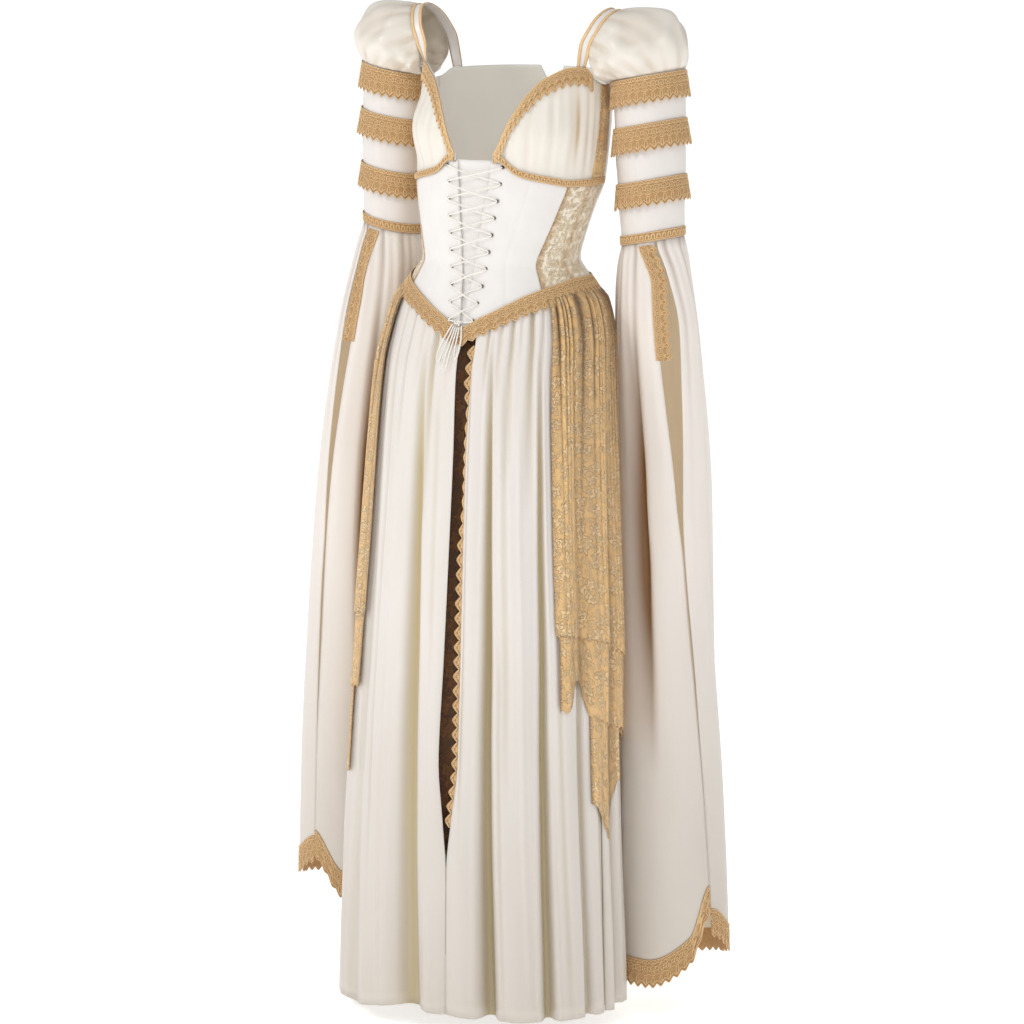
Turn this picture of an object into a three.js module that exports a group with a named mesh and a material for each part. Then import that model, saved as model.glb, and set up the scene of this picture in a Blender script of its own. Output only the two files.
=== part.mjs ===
// A floor-length medieval gown, hollow as it is worn: a laced bodice with gathered cups, a
// pleated skirt with a front slit, a lace overskirt in three lengths, and puffed sleeves
// that end in long open bells.
// Millimetres, +Z up. The origin is the middle of the waist, the front faces -Y and the
// wearer's left is +X. An angle round the body is 0 at the front and grows to the left.
import * as THREE from "three";

const SEAM = 0.3;
const TURN = Math.PI / 180;

// How thick each kind of cloth is.
const CLOTH = { satin: 1.6, bodice: 2.0, lining: 1.4, lace: 1.2, overskirt: 1.0, guipure: 1.4 };

// The gown's outline round the body: half width, half depth and middle at each height.
const BODY = [
  { z: 300, wide: 136, deep: 107, x: 3, y: 33 },
  { z: 230, wide: 142, deep: 118, x: 3, y: 30 },
  { z: 185, wide: 143, deep: 122, x: 2, y: 26 },
  { z: 112, wide: 141, deep: 115, x: 1, y: 16 },
  { z: 75, wide: 133, deep: 108, x: 0, y: 5 },
  { z: 32, wide: 123, deep: 102, x: 0, y: -5 },
  { z: 0, wide: 117, deep: 101, x: 0, y: -10 },
  { z: -20, wide: 129, deep: 104, x: 0, y: -10 },
  { z: -50, wide: 150, deep: 113, x: 0, y: -10 },
  { z: -100, wide: 164, deep: 123, x: 0, y: -16 },
  { z: -150, wide: 171, deep: 128, x: -1, y: -25 },
  { z: -265, wide: 179, deep: 132, x: -1, y: -36 },
  { z: -400, wide: 187, deep: 137, x: -2, y: -42 },
  { z: -560, wide: 198, deep: 142, x: -3, y: -49 },
  { z: -700, wide: 205, deep: 145, x: -4, y: -57 },
  { z: -864, wide: 213, deep: 148, x: -6, y: -60 },
  { z: -1120, wide: 222, deep: 150, x: -8, y: -60 },
];

// Heights of the bodice's seams and edges by the angle from the front, the same both ways.
const WAIST_SEAM = [
  { at: 0, z: -94 },
  { at: 12, z: -78 },
  { at: 38, z: -47 },
  { at: 60, z: -34 },
  { at: 80, z: -28 },
  { at: 180, z: -30 },
];
const UNDERBUST = [
  { at: 0, z: 143 },
  { at: 13, z: 143 },
  { at: 30, z: 126 },
  { at: 48, z: 117 },
  { at: 62, z: 112 },
  { at: 180, z: 112 },
];
const NECKLINE = [
  { at: 10, z: 148 },
  { at: 13, z: 156 },
  { at: 22, z: 207 },
  { at: 30, z: 238 },
  { at: 40, z: 260 },
  { at: 58, z: 274 },
  { at: 68, z: 273 },
  { at: 78, z: 256 },
  { at: 90, z: 248 },
  { at: 102, z: 250 },
  { at: 113, z: 261 },
  { at: 180, z: 264 },
];

// The bodice's panels: angles of the upright seams.
const CUP = { from: 12, gather: 0.9, levels: 6 };
const CUP_FULLNESS = { out: 13, angle: 44, z: 186, spanAngle: 36, spanZ: 62 };
const SIDE = { from: 47.5, to: 100, levels: 6, gap: 0.15 };
const CORSET_LEVELS = 7;
const STOMACHER = { behind: 2.9, levels: 7, columns: 4, lapTop: 5, lapFoot: 3, raised: 1.5, foot: 4 };
const BACK_PLACKET = { from: 169, to: 191, columns: 4, top: 236, foot: -21, stand: 2.0 };
const NECK_LACE = { from: 15, to: 66, columns: 20, point: 19, notch: 13, share: 0.45, lift: 1.7 };
const BUST_BRAID = { from: 22.5, to: 99, columns: 26, point: 8, notch: 5.5, lift: 1.8 };
const FRONT_LINES = [10.6, 18, 24, 30, 36, 42];
const SIDE_LINES = [54, 62, 72, 82, 92];
const BACK_NOTCH = { halfAngle: 8, depth: 40 };
const STRAP = { width: 15, inside: 0.6, turn: 92, steps: 8, front: 69, back: 113, endSpan: 6.5 };

// The lacing: rows of eyelets and the gap between the two placket edges.
const LACING = { pairs: 10, topZ: 136, stepZ: 23.9, topHalf: 44.5, endHalf: 19 };
const CORD = { diameter: 2.4, sides: 8, low: 2.4, over: 3.6 };
const LACING_ENDS = { left: [6.2, -81.5, 4], right: [-8.3, -80.6, 4] };
const PLACKET = [
  { z: 145, half: 26 },
  { z: 60, half: 17 },
  { z: -20, half: 8 },
  { z: -100, half: 1 },
];

// The knot at the foot of the lacing, with two loops and two free ends that hang from it. A
// place is its distance across, its height and its distance out.
const KNOT = { at: [-1, -82.2, 4.7], half: [6.5, 3.6, 4.6] };
const BOW = {
  bow_loop_left: [
    [4.2, -85.4, 4.8],
    [7, -104, 5.6],
    [5.5, -126, 5.4],
    [2.5, -132, 5.4],
    [0.2, -124, 5.4],
    [0.6, -104, 5.6],
    [1.5, -87.3, 4.8],
  ],
  tie_end_left: [
    [-1.4, -87.8, 4.8],
    [-4.5, -108, 5.6],
    [-8, -130, 5.4],
    [-10.5, -150, 5.6],
  ],
  tie_end_right: [
    [-4.3, -87, 4.8],
    [-8.5, -106, 5.6],
    [-13, -128, 5.4],
    [-17, -148, 5.6],
  ],
  bow_loop_right: [
    [-7, -85.6, 4.8],
    [-13, -104, 5.6],
    [-20, -128, 5.4],
    [-23.5, -137, 5.4],
    [-27, -130, 5.4],
    [-22, -110, 5.6],
    [-9.6, -84, 4.8],
  ],
};

// The skirt's pleats: each soft valley's angle at the waist and hem, half its width there
// in degrees, and its depth at the hem. The visible ones are placed as they hang.
const VALLEYS = [
  { waist: -172, hem: -172, half: 5, depth: 18 },
  { waist: -150, hem: -150, half: 4, depth: 22 },
  { waist: -128, hem: -128, half: 5.5, depth: 20 },
  { waist: -106, hem: -106, half: 4, depth: 18 },
  { waist: -80, hem: -80, half: 5, depth: 24 },
  { waist: -50, hem: -48, half: 9, depth: 6 },
  { waist: -19, hem: -11.7, half: 7.5, depth: 20 },
  { waist: 18.8, hem: 22.7, half: 4, depth: 26 },
  { waist: 44, hem: 48.5, half: 3.4, depth: 20 },
  { waist: 62, hem: 69, half: 2.6, depth: 12 },
  { waist: 89, hem: 92, half: 5, depth: 20 },
  { waist: 113, hem: 114, half: 4, depth: 22 },
  { waist: 135, hem: 136, half: 5.5, depth: 18 },
  { waist: 158, hem: 158, half: 4, depth: 22 },
];
const CREST_SWELL = 5;
const CREST_LINES = { one: 9, two: 24 };
const PLEAT_GROWTH = [
  { z: -60, share: 0 },
  { z: -118, share: 0.08 },
  { z: -150, share: 0.2 },
  { z: -265, share: 0.42 },
  { z: -560, share: 0.72 },
  { z: -1120, share: 1 },
];
const SKIRT_SEAMS = { right: -93, left: 80, half: 0.1 };
const SKIRT_LEVELS = [-150, -280, -440, -620, -790, -864];
const SKIRT_TOP = { yoke: 24, drop: 5.5, dropSpan: 24 };
const SKIRT_HEM = [
  { at: -180, z: -1078 },
  { at: -90, z: -1088 },
  { at: -50, z: -1097 },
  { at: -10, z: -1076 },
  { at: 40, z: -1080 },
  { at: 90, z: -1076 },
  { at: 180, z: -1078 },
];
const SLIT = { angle: 5.5 };
const INSET = { from: -3, to: 14, top: -114, end: -880, behind: 1.1, sag: [0, 5, 8, 5, 0] };
const SLIT_LINE = { waist: SLIT.angle, hem: SLIT.angle };
const EDGING = { top: -113, end: -800, lap: 6, teeth: 16, tip: 12, notch: 5, behind: 0.6, room: 2 };
const SLIT_GAP = [
  { z: -90, wide: 23 },
  { z: -135, wide: 25 },
  { z: -265, wide: 20 },
  { z: -400, wide: 22 },
  { z: -560, wide: 26 },
  { z: -700, wide: 30 },
  { z: -790, wide: 13 },
  { z: -864, wide: SEAM },
  { z: -1120, wide: SEAM },
];

// The lace overskirt: where each layer starts and ends round the hip, how far it stands off
// the satin, and its hem by angle, the same on both sides.
const OVERSKIRT = {
  tail: { from: 73, to: 98, stand: 0.8, folds: 0.6 },
  under: { from: 56, to: 179.9, stand: 2.9, folds: 0.7 },
  top: { from: 54, to: 179.9, stand: 5.0, folds: 0.9 },
};
const OVERSKIRT_HEMS = {
  tail: [
    { at: 73, z: -767 },
    { at: 86, z: -828 },
    { at: 98, z: -745 },
  ],
  under: [
    { at: 56, z: -628 },
    { at: 61, z: -632 },
    { at: 67, z: -588 },
    { at: 73, z: -640 },
    { at: 110, z: -682 },
    { at: 150, z: -742 },
    { at: 180, z: -778 },
  ],
  top: [
    { at: 54, z: -521 },
    { at: 110, z: -573 },
    { at: 180, z: -640 },
  ],
};
const OVERSKIRT_FOLLOW = 0.3;
const OVERSKIRT_TOP_STAND = 0.65;

// The sleeves: middle and half widths of each arm's tube. The x counts outwards.
const ARM = {
  left: [
    { z: 300, x: 206, y: 46, wide: 52, deep: 49 },
    { z: 200, x: 209, y: 44, wide: 52, deep: 49 },
    { z: 28, x: 216, y: 42, wide: 45, deep: 43 },
    { z: -6, x: 216, y: 44, wide: 50, deep: 47 },
    { z: -115, x: 217, y: 58, wide: 61, deep: 57 },
    { z: -345, x: 223, y: 77, wide: 67, deep: 62 },
    { z: -550, x: 227, y: 79, wide: 70, deep: 66 },
    { z: -790, x: 234, y: 78, wide: 77, deep: 72 },
    { z: -1060, x: 243, y: 74, wide: 82, deep: 75 },
  ],
  right: [
    { z: 300, x: 202, y: 46, wide: 50, deep: 48 },
    { z: 200, x: 205, y: 44, wide: 50, deep: 48 },
    { z: 28, x: 207, y: 42, wide: 45, deep: 43 },
    { z: -6, x: 212, y: 41, wide: 50, deep: 47 },
    { z: -115, x: 231, y: 35, wide: 59, deep: 56 },
    { z: -345, x: 261, y: 32, wide: 67, deep: 63 },
    { z: -550, x: 276, y: 34, wide: 70, deep: 66 },
    { z: -790, x: 283, y: 36, wide: 76, deep: 72 },
    { z: -1060, x: 288, y: 38, wide: 80, deep: 75 },
  ],
};
const SLEEVE = { topZ: 262, elbowZ: 28, tilt: 0.19, columns: 20, levels: [262, 145, 28] };
const SLEEVE_LACES = [
  { top: 257, deep: 36, flare: 5 },
  { top: 195, deep: 40, flare: 6 },
  { top: 116, deep: 38, flare: 6 },
];
const SLEEVE_LACE = { notch: 9, stand: 0.9 };
const ELBOW_BRAID = { deep: 14, stand: 0.5 };
const WAIST_LACE = { rows: [6, -6, -16], point: 6, stand: 1.9, columns: 30 };
const PUFF = {
  columns: 20,
  gather: 2,
  swell: { out: 46, front: 15, inner: 1 },
  rows: [0, 0.14, 0.34, 0.6, 0.84, 1],
};
const ARMHOLE = { y: 38, z: 301, up: 52, front: 47 };
const ARMHOLE_REACH = [
  { turn: 0, x: 164 },
  { turn: 60, x: 151 },
  { turn: 90, x: 140 },
  { turn: 112, x: 137 },
  { turn: 134, x: 142 },
  { turn: 180, x: 147.5 },
];

// The bells: the slit's middle angle and half opening by height, the hem by angle from the
// slit, and the long folds.
const BELL_SLIT = {
  left: [
    { z: 30, at: 30, half: 1.4 },
    { z: -20, at: 37, half: 10 },
    { z: -85, at: 41, half: 16 },
    { z: -200, at: 41, half: 12 },
    { z: -330, at: 41, half: 5 },
    { z: -450, at: 47, half: 0.6 },
    { z: -620, at: 57, half: 0.5 },
    { z: -950, at: 66, half: 0.8 },
  ],
  right: [
    { z: 30, at: 32, half: 1.4 },
    { z: -20, at: 27, half: 8 },
    { z: -85, at: 22, half: 12 },
    { z: -200, at: 20, half: 9 },
    { z: -330, at: 18, half: 4 },
    { z: -450, at: 16, half: 0.6 },
    { z: -620, at: 16, half: 0.5 },
    { z: -950, at: 16, half: 0.8 },
  ],
};
const BELL_HEM = {
  left: [
    { round: 0, z: -950 },
    { round: 0.12, z: -985 },
    { round: 0.5, z: -1020 },
    { round: 0.8, z: -1026 },
    { round: 0.93, z: -990 },
    { round: 1, z: -915 },
  ],
  right: [
    { round: 0, z: -900 },
    { round: 0.1, z: -925 },
    { round: 0.3, z: -945 },
    { round: 0.6, z: -965 },
    { round: 0.9, z: -950 },
    { round: 1, z: -890 },
  ],
};
const BELL_FOLDS = [
  { top: 0.87, hem: 0.8, half: 0.066, depth: 15, start: -60, end: -740 },
  { top: 0.72, hem: 0.66, half: 0.06, depth: 10, start: -40, end: -1100 },
  { top: 0.5, hem: 0.52, half: 0.072, depth: 10, start: -40, end: -1100 },
  { top: 0.3, hem: 0.34, half: 0.06, depth: 9, start: -40, end: -1100 },
  { top: 0.14, hem: 0.17, half: 0.054, depth: 8, start: -60, end: -1100 },
];
const BELL_FOLD_REACHES_HEM = -1000;
const BELL_HEM_LACE = { lap: 7, deep: 36, notch: 9, stand: 1 };
const BELL_SLIT_LACE = { top: 8, end: -135, teeth: 5, lap: 11, tip: 11, notch: 5, stand: 0.8 };
const BELL_DRIFT = { top: -60, span: 900 };
const BELL_TILT = { end: -120, span: 150 };
const BELL_COLUMNS = [
  0, 0.05, 0.1, 0.14, 0.18, 0.24, 0.3, 0.35, 0.41, 0.47, 0.52, 0.58, 0.63, 0.68, 0.73, 0.78, 0.83,
  0.88, 0.94, 1,
];
const BELL_SHARES = [0, 0.05, 0.13, 0.26, 0.42, 0.62, 0.82, 1];

const COLOURS = {
  satin: { color: 0xf0ebe4, roughness: 0.42, metalness: 0 },
  corset: { color: 0xefeae7, roughness: 0.7, metalness: 0 },
  goldLace: { color: 0xd2a96a, roughness: 0.65, metalness: 0.1 },
  floralLace: { color: 0xcfa868, roughness: 0.75, metalness: 0.05 },
  laceOverIvory: { color: 0xdcc396, roughness: 0.7, metalness: 0 },
  darkLace: { color: 0x5a3a18, roughness: 0.8, metalness: 0 },
  cord: { color: 0xede6d3, roughness: 0.6, metalness: 0 },
};

const gown = new THREE.Group();
const materials = Object.fromEntries(
  Object.entries(COLOURS).map(([name, look]) => [name, new THREE.MeshStandardMaterial(look)]),
);

// Adds one named piece of cloth to the gown.
function add(name, geometry, material) {
  const mesh = new THREE.Mesh(geometry, materials[material]);
  mesh.name = name;
  gown.add(mesh);
}

// The value of a table's column at a place along its key column, smooth between the rows.
function along(table, key, at, column) {
  const rising = table[0][key] < table[table.length - 1][key];
  const rows = rising ? table : [...table].reverse();
  if (at <= rows[0][key]) return rows[0][column];
  if (at >= rows[rows.length - 1][key]) return rows[rows.length - 1][column];
  const i = rows.findIndex((row) => row[key] > at) - 1;
  const slope = (k) => {
    if (k <= 0 || k >= rows.length - 1) return 0;
    const before = (rows[k][column] - rows[k - 1][column]) / (rows[k][key] - rows[k - 1][key]);
    const after = (rows[k + 1][column] - rows[k][column]) / (rows[k + 1][key] - rows[k][key]);
    return before * after <= 0 ? 0 : (2 * before * after) / (before + after);
  };
  const span = rows[i + 1][key] - rows[i][key];
  const t = (at - rows[i][key]) / span;
  const t2 = t * t;
  const t3 = t2 * t;
  return (
    (2 * t3 - 3 * t2 + 1) * rows[i][column] +
    (t3 - 2 * t2 + t) * span * slope(i) +
    (3 * t2 - 2 * t3) * rows[i + 1][column] +
    (t3 - t2) * span * slope(i + 1)
  );
}

const mix = (a, b, t) => a + (b - a) * t;
const clamp = (t) => Math.min(1, Math.max(0, t));
const range = (count) => [...Array(count).keys()];
const bump = (x) => (Math.abs(x) < 1 ? (1 + Math.cos(Math.PI * x)) / 2 : 0);

// The unit normals of a grid of points, all on the side away from the core points.
function gridNormals(rows, core, closed) {
  const last = rows.length - 1;
  const count = rows[0].length;
  const normals = rows.map((row, i) =>
    row.map((point, j) => {
      const left = closed ? row[(j + count - 1) % count] : row[Math.max(j - 1, 0)];
      const right = closed ? row[(j + 1) % count] : row[Math.min(j + 1, count - 1)];
      const above = rows[Math.max(i - 1, 0)][j];
      const below = rows[Math.min(i + 1, last)][j];
      const across = right.clone().sub(left);
      return across.cross(below.clone().sub(above)).normalize();
    }),
  );
  let side = 0;
  rows.forEach((row, i) =>
    row.forEach((point, j) => {
      side += normals[i][j].dot(point.clone().sub(core(point.z)));
    }),
  );
  return side < 0 ? normals.map((row) => row.map((n) => n.negate())) : normals;
}

// The closed solid between two grids of the same size, with its open edges rimmed.
function solidBetween(inner, outer, closed) {
  const count = inner[0].length;
  const height = inner.length;
  const points = [...inner.flat(), ...outer.flat()];
  const index = (side, i, j) => side * height * count + i * count + (j % count);
  const faces = [];
  const quad = (a, b, c, d) => faces.push(a, b, c, a, c, d);
  const cells = closed ? count : count - 1;
  for (let i = 0; i < height - 1; i++) {
    for (let j = 0; j < cells; j++) {
      quad(index(1, i, j), index(1, i, j + 1), index(1, i + 1, j + 1), index(1, i + 1, j));
      // The inner face turns the other way but is cut along the same diagonal.
      faces.push(index(0, i, j), index(0, i + 1, j + 1), index(0, i, j + 1));
      faces.push(index(0, i, j), index(0, i + 1, j), index(0, i + 1, j + 1));
    }
  }
  for (let j = 0; j < cells; j++) {
    quad(index(0, 0, j), index(0, 0, j + 1), index(1, 0, j + 1), index(1, 0, j));
    const end = height - 1;
    quad(index(1, end, j), index(1, end, j + 1), index(0, end, j + 1), index(0, end, j));
  }
  if (!closed) {
    for (let i = 0; i < height - 1; i++) {
      const end = count - 1;
      quad(index(1, i, 0), index(1, i + 1, 0), index(0, i + 1, 0), index(0, i, 0));
      quad(index(0, i, end), index(0, i + 1, end), index(1, i + 1, end), index(1, i, end));
    }
  }
  return facingOut(points, faces);
}

// An indexed geometry whose faces look outwards.
function facingOut(points, faces) {
  let volume = 0;
  for (let k = 0; k < faces.length; k += 3) {
    const [a, b, c] = [points[faces[k]], points[faces[k + 1]], points[faces[k + 2]]];
    volume += a.dot(b.clone().cross(c));
  }
  if (volume < 0) {
    for (let k = 0; k < faces.length; k += 3) {
      [faces[k + 1], faces[k + 2]] = [faces[k + 2], faces[k + 1]];
    }
  }
  const geometry = new THREE.BufferGeometry();
  geometry.setAttribute(
    "position",
    new THREE.Float32BufferAttribute(points.flatMap((p) => [p.x, p.y, p.z]), 3),
  );
  geometry.setIndex(faces);
  geometry.computeVertexNormals();
  return geometry;
}

// A cloth wall on the body, from a grid of places given by angle, height and distance out.
function bodyWall(places, from, to) {
  const moved = (by) =>
    places.map((row) => row.map(({ angle, z, out = 0 }) => bodyPoint(angle, z, out + by)));
  return solidBetween(moved(from), moved(to), false);
}

// A cloth wall that lies between two distances from a grid of points.
function wall(rows, core, from, to, closed = false) {
  const normals = gridNormals(rows, core, closed);
  const moved = (by) =>
    rows.map((row, i) => row.map((p, j) => p.clone().addScaledVector(normals[i][j], by)));
  return solidBetween(moved(from), moved(to), closed);
}

const bodyCore = (z) => new THREE.Vector3(along(BODY, "z", z, "x"), along(BODY, "z", z, "y"), z);

// A point on the body's outline, moved out along the outline's own normal.
function bodyPoint(angle, z, out = 0) {
  const wide = along(BODY, "z", z, "wide");
  const deep = along(BODY, "z", z, "deep");
  const s = Math.sin(angle * TURN);
  const c = Math.cos(angle * TURN);
  const normal = new THREE.Vector3(s / wide, -c / deep, 0).normalize();
  return bodyCore(z)
    .add(new THREE.Vector3(wide * s, -deep * c, 0))
    .addScaledVector(normal, out);
}

const seamZ = (table, angle) => along(table, "at", Math.abs(angle), "z");

// How far the gathered cup stands off the body's outline.
function cupFullness(angle, z) {
  const round = bump((Math.abs(angle) - CUP_FULLNESS.angle) / CUP_FULLNESS.spanAngle);
  return CUP_FULLNESS.out * round * bump((z - CUP_FULLNESS.z) / CUP_FULLNESS.spanZ);
}

// Places on the body between two edges, which are given as heights by angle.
function bodyPlaces(angles, top, bottom, count, out = () => 0) {
  return range(count + 1).map((i) =>
    angles.map((angle, j) => {
      const z = mix(top(angle), bottom(angle), i / count);
      return { angle, z, out: out(angle, z, i / count, j) };
    }),
  );
}

const steps = (from, to, count) => range(count + 1).map((k) => mix(from, to, k / count));
const mirrored = (angles, side) => angles.map((angle) => side * angle);

// Half the gap between the placket edges, as an angle.
function placketAngle(z) {
  return Math.asin(along(PLACKET, "z", z, "half") / along(BODY, "z", z, "wide")) / TURN;
}

function makeCorset(side, name) {
  const last = SIDE.from - SIDE.gap;
  const lines = [...FRONT_LINES, last];
  const spread = (line, z) => mix(placketAngle(z), last, (line - lines[0]) / (last - lines[0]));
  const top = (angle) => seamZ(UNDERBUST, angle) - SEAM;
  const foot = (angle) => seamZ(WAIST_SEAM, angle) + SEAM;
  const places = steps(0, 1, CORSET_LEVELS).map((share) =>
    lines.map((line) => {
      const height = (angle) => mix(top(angle), foot(angle), share);
      const z = height(spread(line, height(line)));
      return { angle: side * spread(line, z), z };
    }),
  );
  add("corset_front_" + name, bodyWall(places, -CLOTH.bodice, 0), "corset");
}

function makeStomacher() {
  const { behind, levels, columns, lapTop, lapFoot, raised, foot } = STOMACHER;
  const places = steps(0, 1, levels).map((share) => {
    const z = mix(seamZ(UNDERBUST, 0) + raised, seamZ(WAIST_SEAM, 0) + foot, share);
    const reach = placketAngle(z) + mix(lapTop, lapFoot, share);
    return steps(-reach, reach, columns).map((angle) => ({ angle, z }));
  });
  add("stomacher", bodyWall(places, -behind - CLOTH.lining, -behind), "corset");
}

function makeSidePanel(side, name) {
  const angles = mirrored([SIDE.from + SIDE.gap, ...SIDE_LINES, SIDE.to], side);
  const top = (a) => seamZ(UNDERBUST, a) - SEAM;
  const bottom = (a) => seamZ(WAIST_SEAM, a) + SEAM;
  const places = bodyPlaces(angles, top, bottom, SIDE.levels);
  add("side_panel_" + name, bodyWall(places, -CLOTH.bodice, 0), "laceOverIvory");
}

function makeCup(side, name) {
  const lines = [CUP.from, ...FRONT_LINES.slice(1), SIDE.from, ...SIDE_LINES, SIDE.to];
  const top = (a) => seamZ(NECKLINE, a);
  const bottom = (a) => seamZ(UNDERBUST, a) + SEAM / 2;
  const out = (angle, z, share, j) =>
    cupFullness(angle, z) + (j % 2 ? CUP.gather : -CUP.gather) * Math.sin(Math.PI * share);
  const places = bodyPlaces(mirrored(lines, side), top, bottom, CUP.levels, out);
  add("cup_" + name, bodyWall(places, -CLOTH.bodice, 0), "satin");
}

function makeBack(side, name) {
  const columns = 7;
  const first = SIDE.to + 0.2;
  const place = (share, height) => {
    const z = height(mix(first, 180, share));
    const below = seamZ(NECKLINE, 180) - z;
    const open = BACK_NOTCH.halfAngle * Math.max(0, 1 - below / BACK_NOTCH.depth);
    return { angle: side * mix(first, 180 - Math.max(open, 0.1), share), z };
  };
  const underarm = (a) => seamZ(UNDERBUST, a) - SEAM;
  const heights = [
    ...steps(0, 1, CUP.levels).slice(0, -1).map((t) => (a) => mix(seamZ(NECKLINE, a), underarm(a), t)),
    ...steps(0, 1, SIDE.levels).map((t) => (a) => mix(underarm(a), seamZ(WAIST_SEAM, a) + SEAM, t)),
  ];
  const places = heights.map((height) => steps(0, 1, columns).map((share) => place(share, height)));
  add("bodice_back_" + name, bodyWall(places, -CLOTH.bodice, 0), "satin");
}

function makeBackPlacket() {
  const { from, to, columns, top, foot, stand } = BACK_PLACKET;
  const places = bodyPlaces(steps(from, to, columns), () => top, () => foot, CORSET_LEVELS);
  add("back_placket", bodyWall(places, stand, stand + CLOTH.lining), "satin");
}

// The pointed lace along the cup's top edge and the braid along its foot.
function makeBodiceTrims(side, name) {
  const neckAngles = mirrored(steps(NECK_LACE.from, NECK_LACE.to, NECK_LACE.columns), side);
  const neck = [0, 1].map((i) =>
    neckAngles.map((angle, j) => {
      const top = seamZ(NECKLINE, angle);
      const room = NECK_LACE.share * (top - seamZ(UNDERBUST, angle));
      const deep = Math.min(j % 2 ? NECK_LACE.point : NECK_LACE.notch, room);
      const z = i ? top - deep : top + SEAM;
      return { angle, z, out: cupFullness(angle, z) + NECK_LACE.lift };
    }),
  );
  add("neckline_lace_" + name, bodyWall(neck, 0, CLOTH.guipure), "goldLace");
  const bustAngles = mirrored(steps(BUST_BRAID.from, BUST_BRAID.to, BUST_BRAID.columns), side);
  const bust = [1, 0, -1].map((row) =>
    bustAngles.map((angle, j) => {
      const z = seamZ(UNDERBUST, angle) + row * (j % 2 ? BUST_BRAID.point : BUST_BRAID.notch);
      return { angle, z, out: cupFullness(angle, z) + BUST_BRAID.lift };
    }),
  );
  add("underbust_braid_" + name, bodyWall(bust, 0, CLOTH.guipure), "goldLace");
}

// The skirt

const wrapped = (angle) => (angle > 180 ? angle - 360 : angle < -180 ? angle + 360 : angle);
const skirtGrowth = (z) => along(PLEAT_GROWTH, "z", z, "share");
const hemShare = (z) => clamp((z + 60) / -1020);

// The skirt's upright grid lines between two seams: three to each valley and one or two to
// each wide crest. The edges of the front slit are lines of their own.
function pleatColumns(from, to, valleys = VALLEYS) {
  const columns = [];
  const stops = [];
  const edge = (seam, into) => {
    if (seam === SLIT.angle) return { slit: into, waist: seam, hem: seam, dip: 0, swell: 0 };
    const line = seam + into * SKIRT_SEAMS.half;
    return { waist: line, hem: line, dip: 0, swell: 0 };
  };
  for (const valley of valleys) {
    if (valley.hem <= Math.min(from, to) || valley.hem >= Math.max(from, to)) continue;
    stops.push(
      [-1, 0, 1].map((k) => ({
        waist: valley.waist + k * valley.half,
        hem: valley.hem + k * valley.half,
        dip: k ? 0 : valley.depth,
        swell: 0,
      })),
    );
  }
  const groups = [[edge(from, 1)], ...stops, [edge(to, -1)]];
  groups.forEach((group, k) => {
    if (k) {
      const before = groups[k - 1][groups[k - 1].length - 1];
      const gap = group[0].hem - before.hem;
      const inside = gap > CREST_LINES.two ? [0.33, 0.67] : gap > CREST_LINES.one ? [0.5] : [];
      for (const t of inside) {
        columns.push({
          waist: mix(before.waist, group[0].waist, t),
          hem: mix(before.hem, group[0].hem, t),
          dip: 0,
          swell: 4 * t * (1 - t),
        });
      }
    }
    columns.push(...group);
  });
  return columns;
}

function slitHalfAngle(z) {
  return along(SLIT_GAP, "z", z, "wide") / 2 / along(BODY, "z", z, "wide") / TURN;
}

function columnAngle(column, z) {
  if (column.slit) return SLIT.angle + column.slit * slitHalfAngle(z);
  return mix(column.waist, column.hem, hemShare(z));
}

// A point of the skirt: on the satin, or on a lace layer that stands off it and follows
// only a share of its valleys.
function skirtPoint(column, z, stand = 0, follow = 1) {
  const growth = skirtGrowth(z);
  const fold = CREST_SWELL * column.swell - follow * column.dip;
  return bodyPoint(columnAngle(column, z), z, growth * fold + stand);
}

// The skirt's top edge, which drops a little clear of the point of the V, and the line
// below it down to which the cloth lies flat.
const skirtTop = ({ waist }) =>
  seamZ(WAIST_SEAM, wrapped(waist)) - SEAM - SKIRT_TOP.drop * bump(waist / SKIRT_TOP.dropSpan);
const yokeZ = ({ waist }) => seamZ(WAIST_SEAM, wrapped(waist)) - SKIRT_TOP.yoke;
const skirtHem = (angle) => along(SKIRT_HEM, "at", angle, "z");

function makeSkirtPanel(name, from, to, valleys) {
  const columns = pleatColumns(from, to, valleys);
  const rows = [
    columns.map((c) => skirtPoint(c, skirtTop(c))),
    columns.map((c) => skirtPoint(c, yokeZ(c))),
    ...SKIRT_LEVELS.map((z) => columns.map((c) => skirtPoint(c, z))),
    columns.map((c) => skirtPoint(c, skirtHem(wrapped(c.hem)))),
  ];
  add(name, wall(rows, bodyCore, -CLOTH.satin, 0), "satin");
}

function makeSkirt() {
  makeSkirtPanel("skirt_front_left", SLIT.angle, SKIRT_SEAMS.left);
  makeSkirtPanel("skirt_front_right", SKIRT_SEAMS.right, SLIT.angle);
  const turned = VALLEYS.map((v) => ({ ...v, waist: v.waist + 360, hem: v.hem + 360 }));
  makeSkirtPanel("skirt_back", SKIRT_SEAMS.left, SKIRT_SEAMS.right + 360, [...VALLEYS, ...turned]);
}

// A point between the skirt's grid levels, where its facets run straight.
function betweenLevels(column, z, pointAt) {
  const levels = [yokeZ(column), ...SKIRT_LEVELS, skirtHem(wrapped(column.hem))];
  const k = levels.findIndex((level) => level <= z);
  if (k < 1) return pointAt(levels[k ? levels.length - 1 : 0]).setZ(z);
  const [above, below] = [levels[k - 1], levels[k]];
  return pointAt(above).lerp(pointAt(below), (above - z) / (above - below));
}

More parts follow.
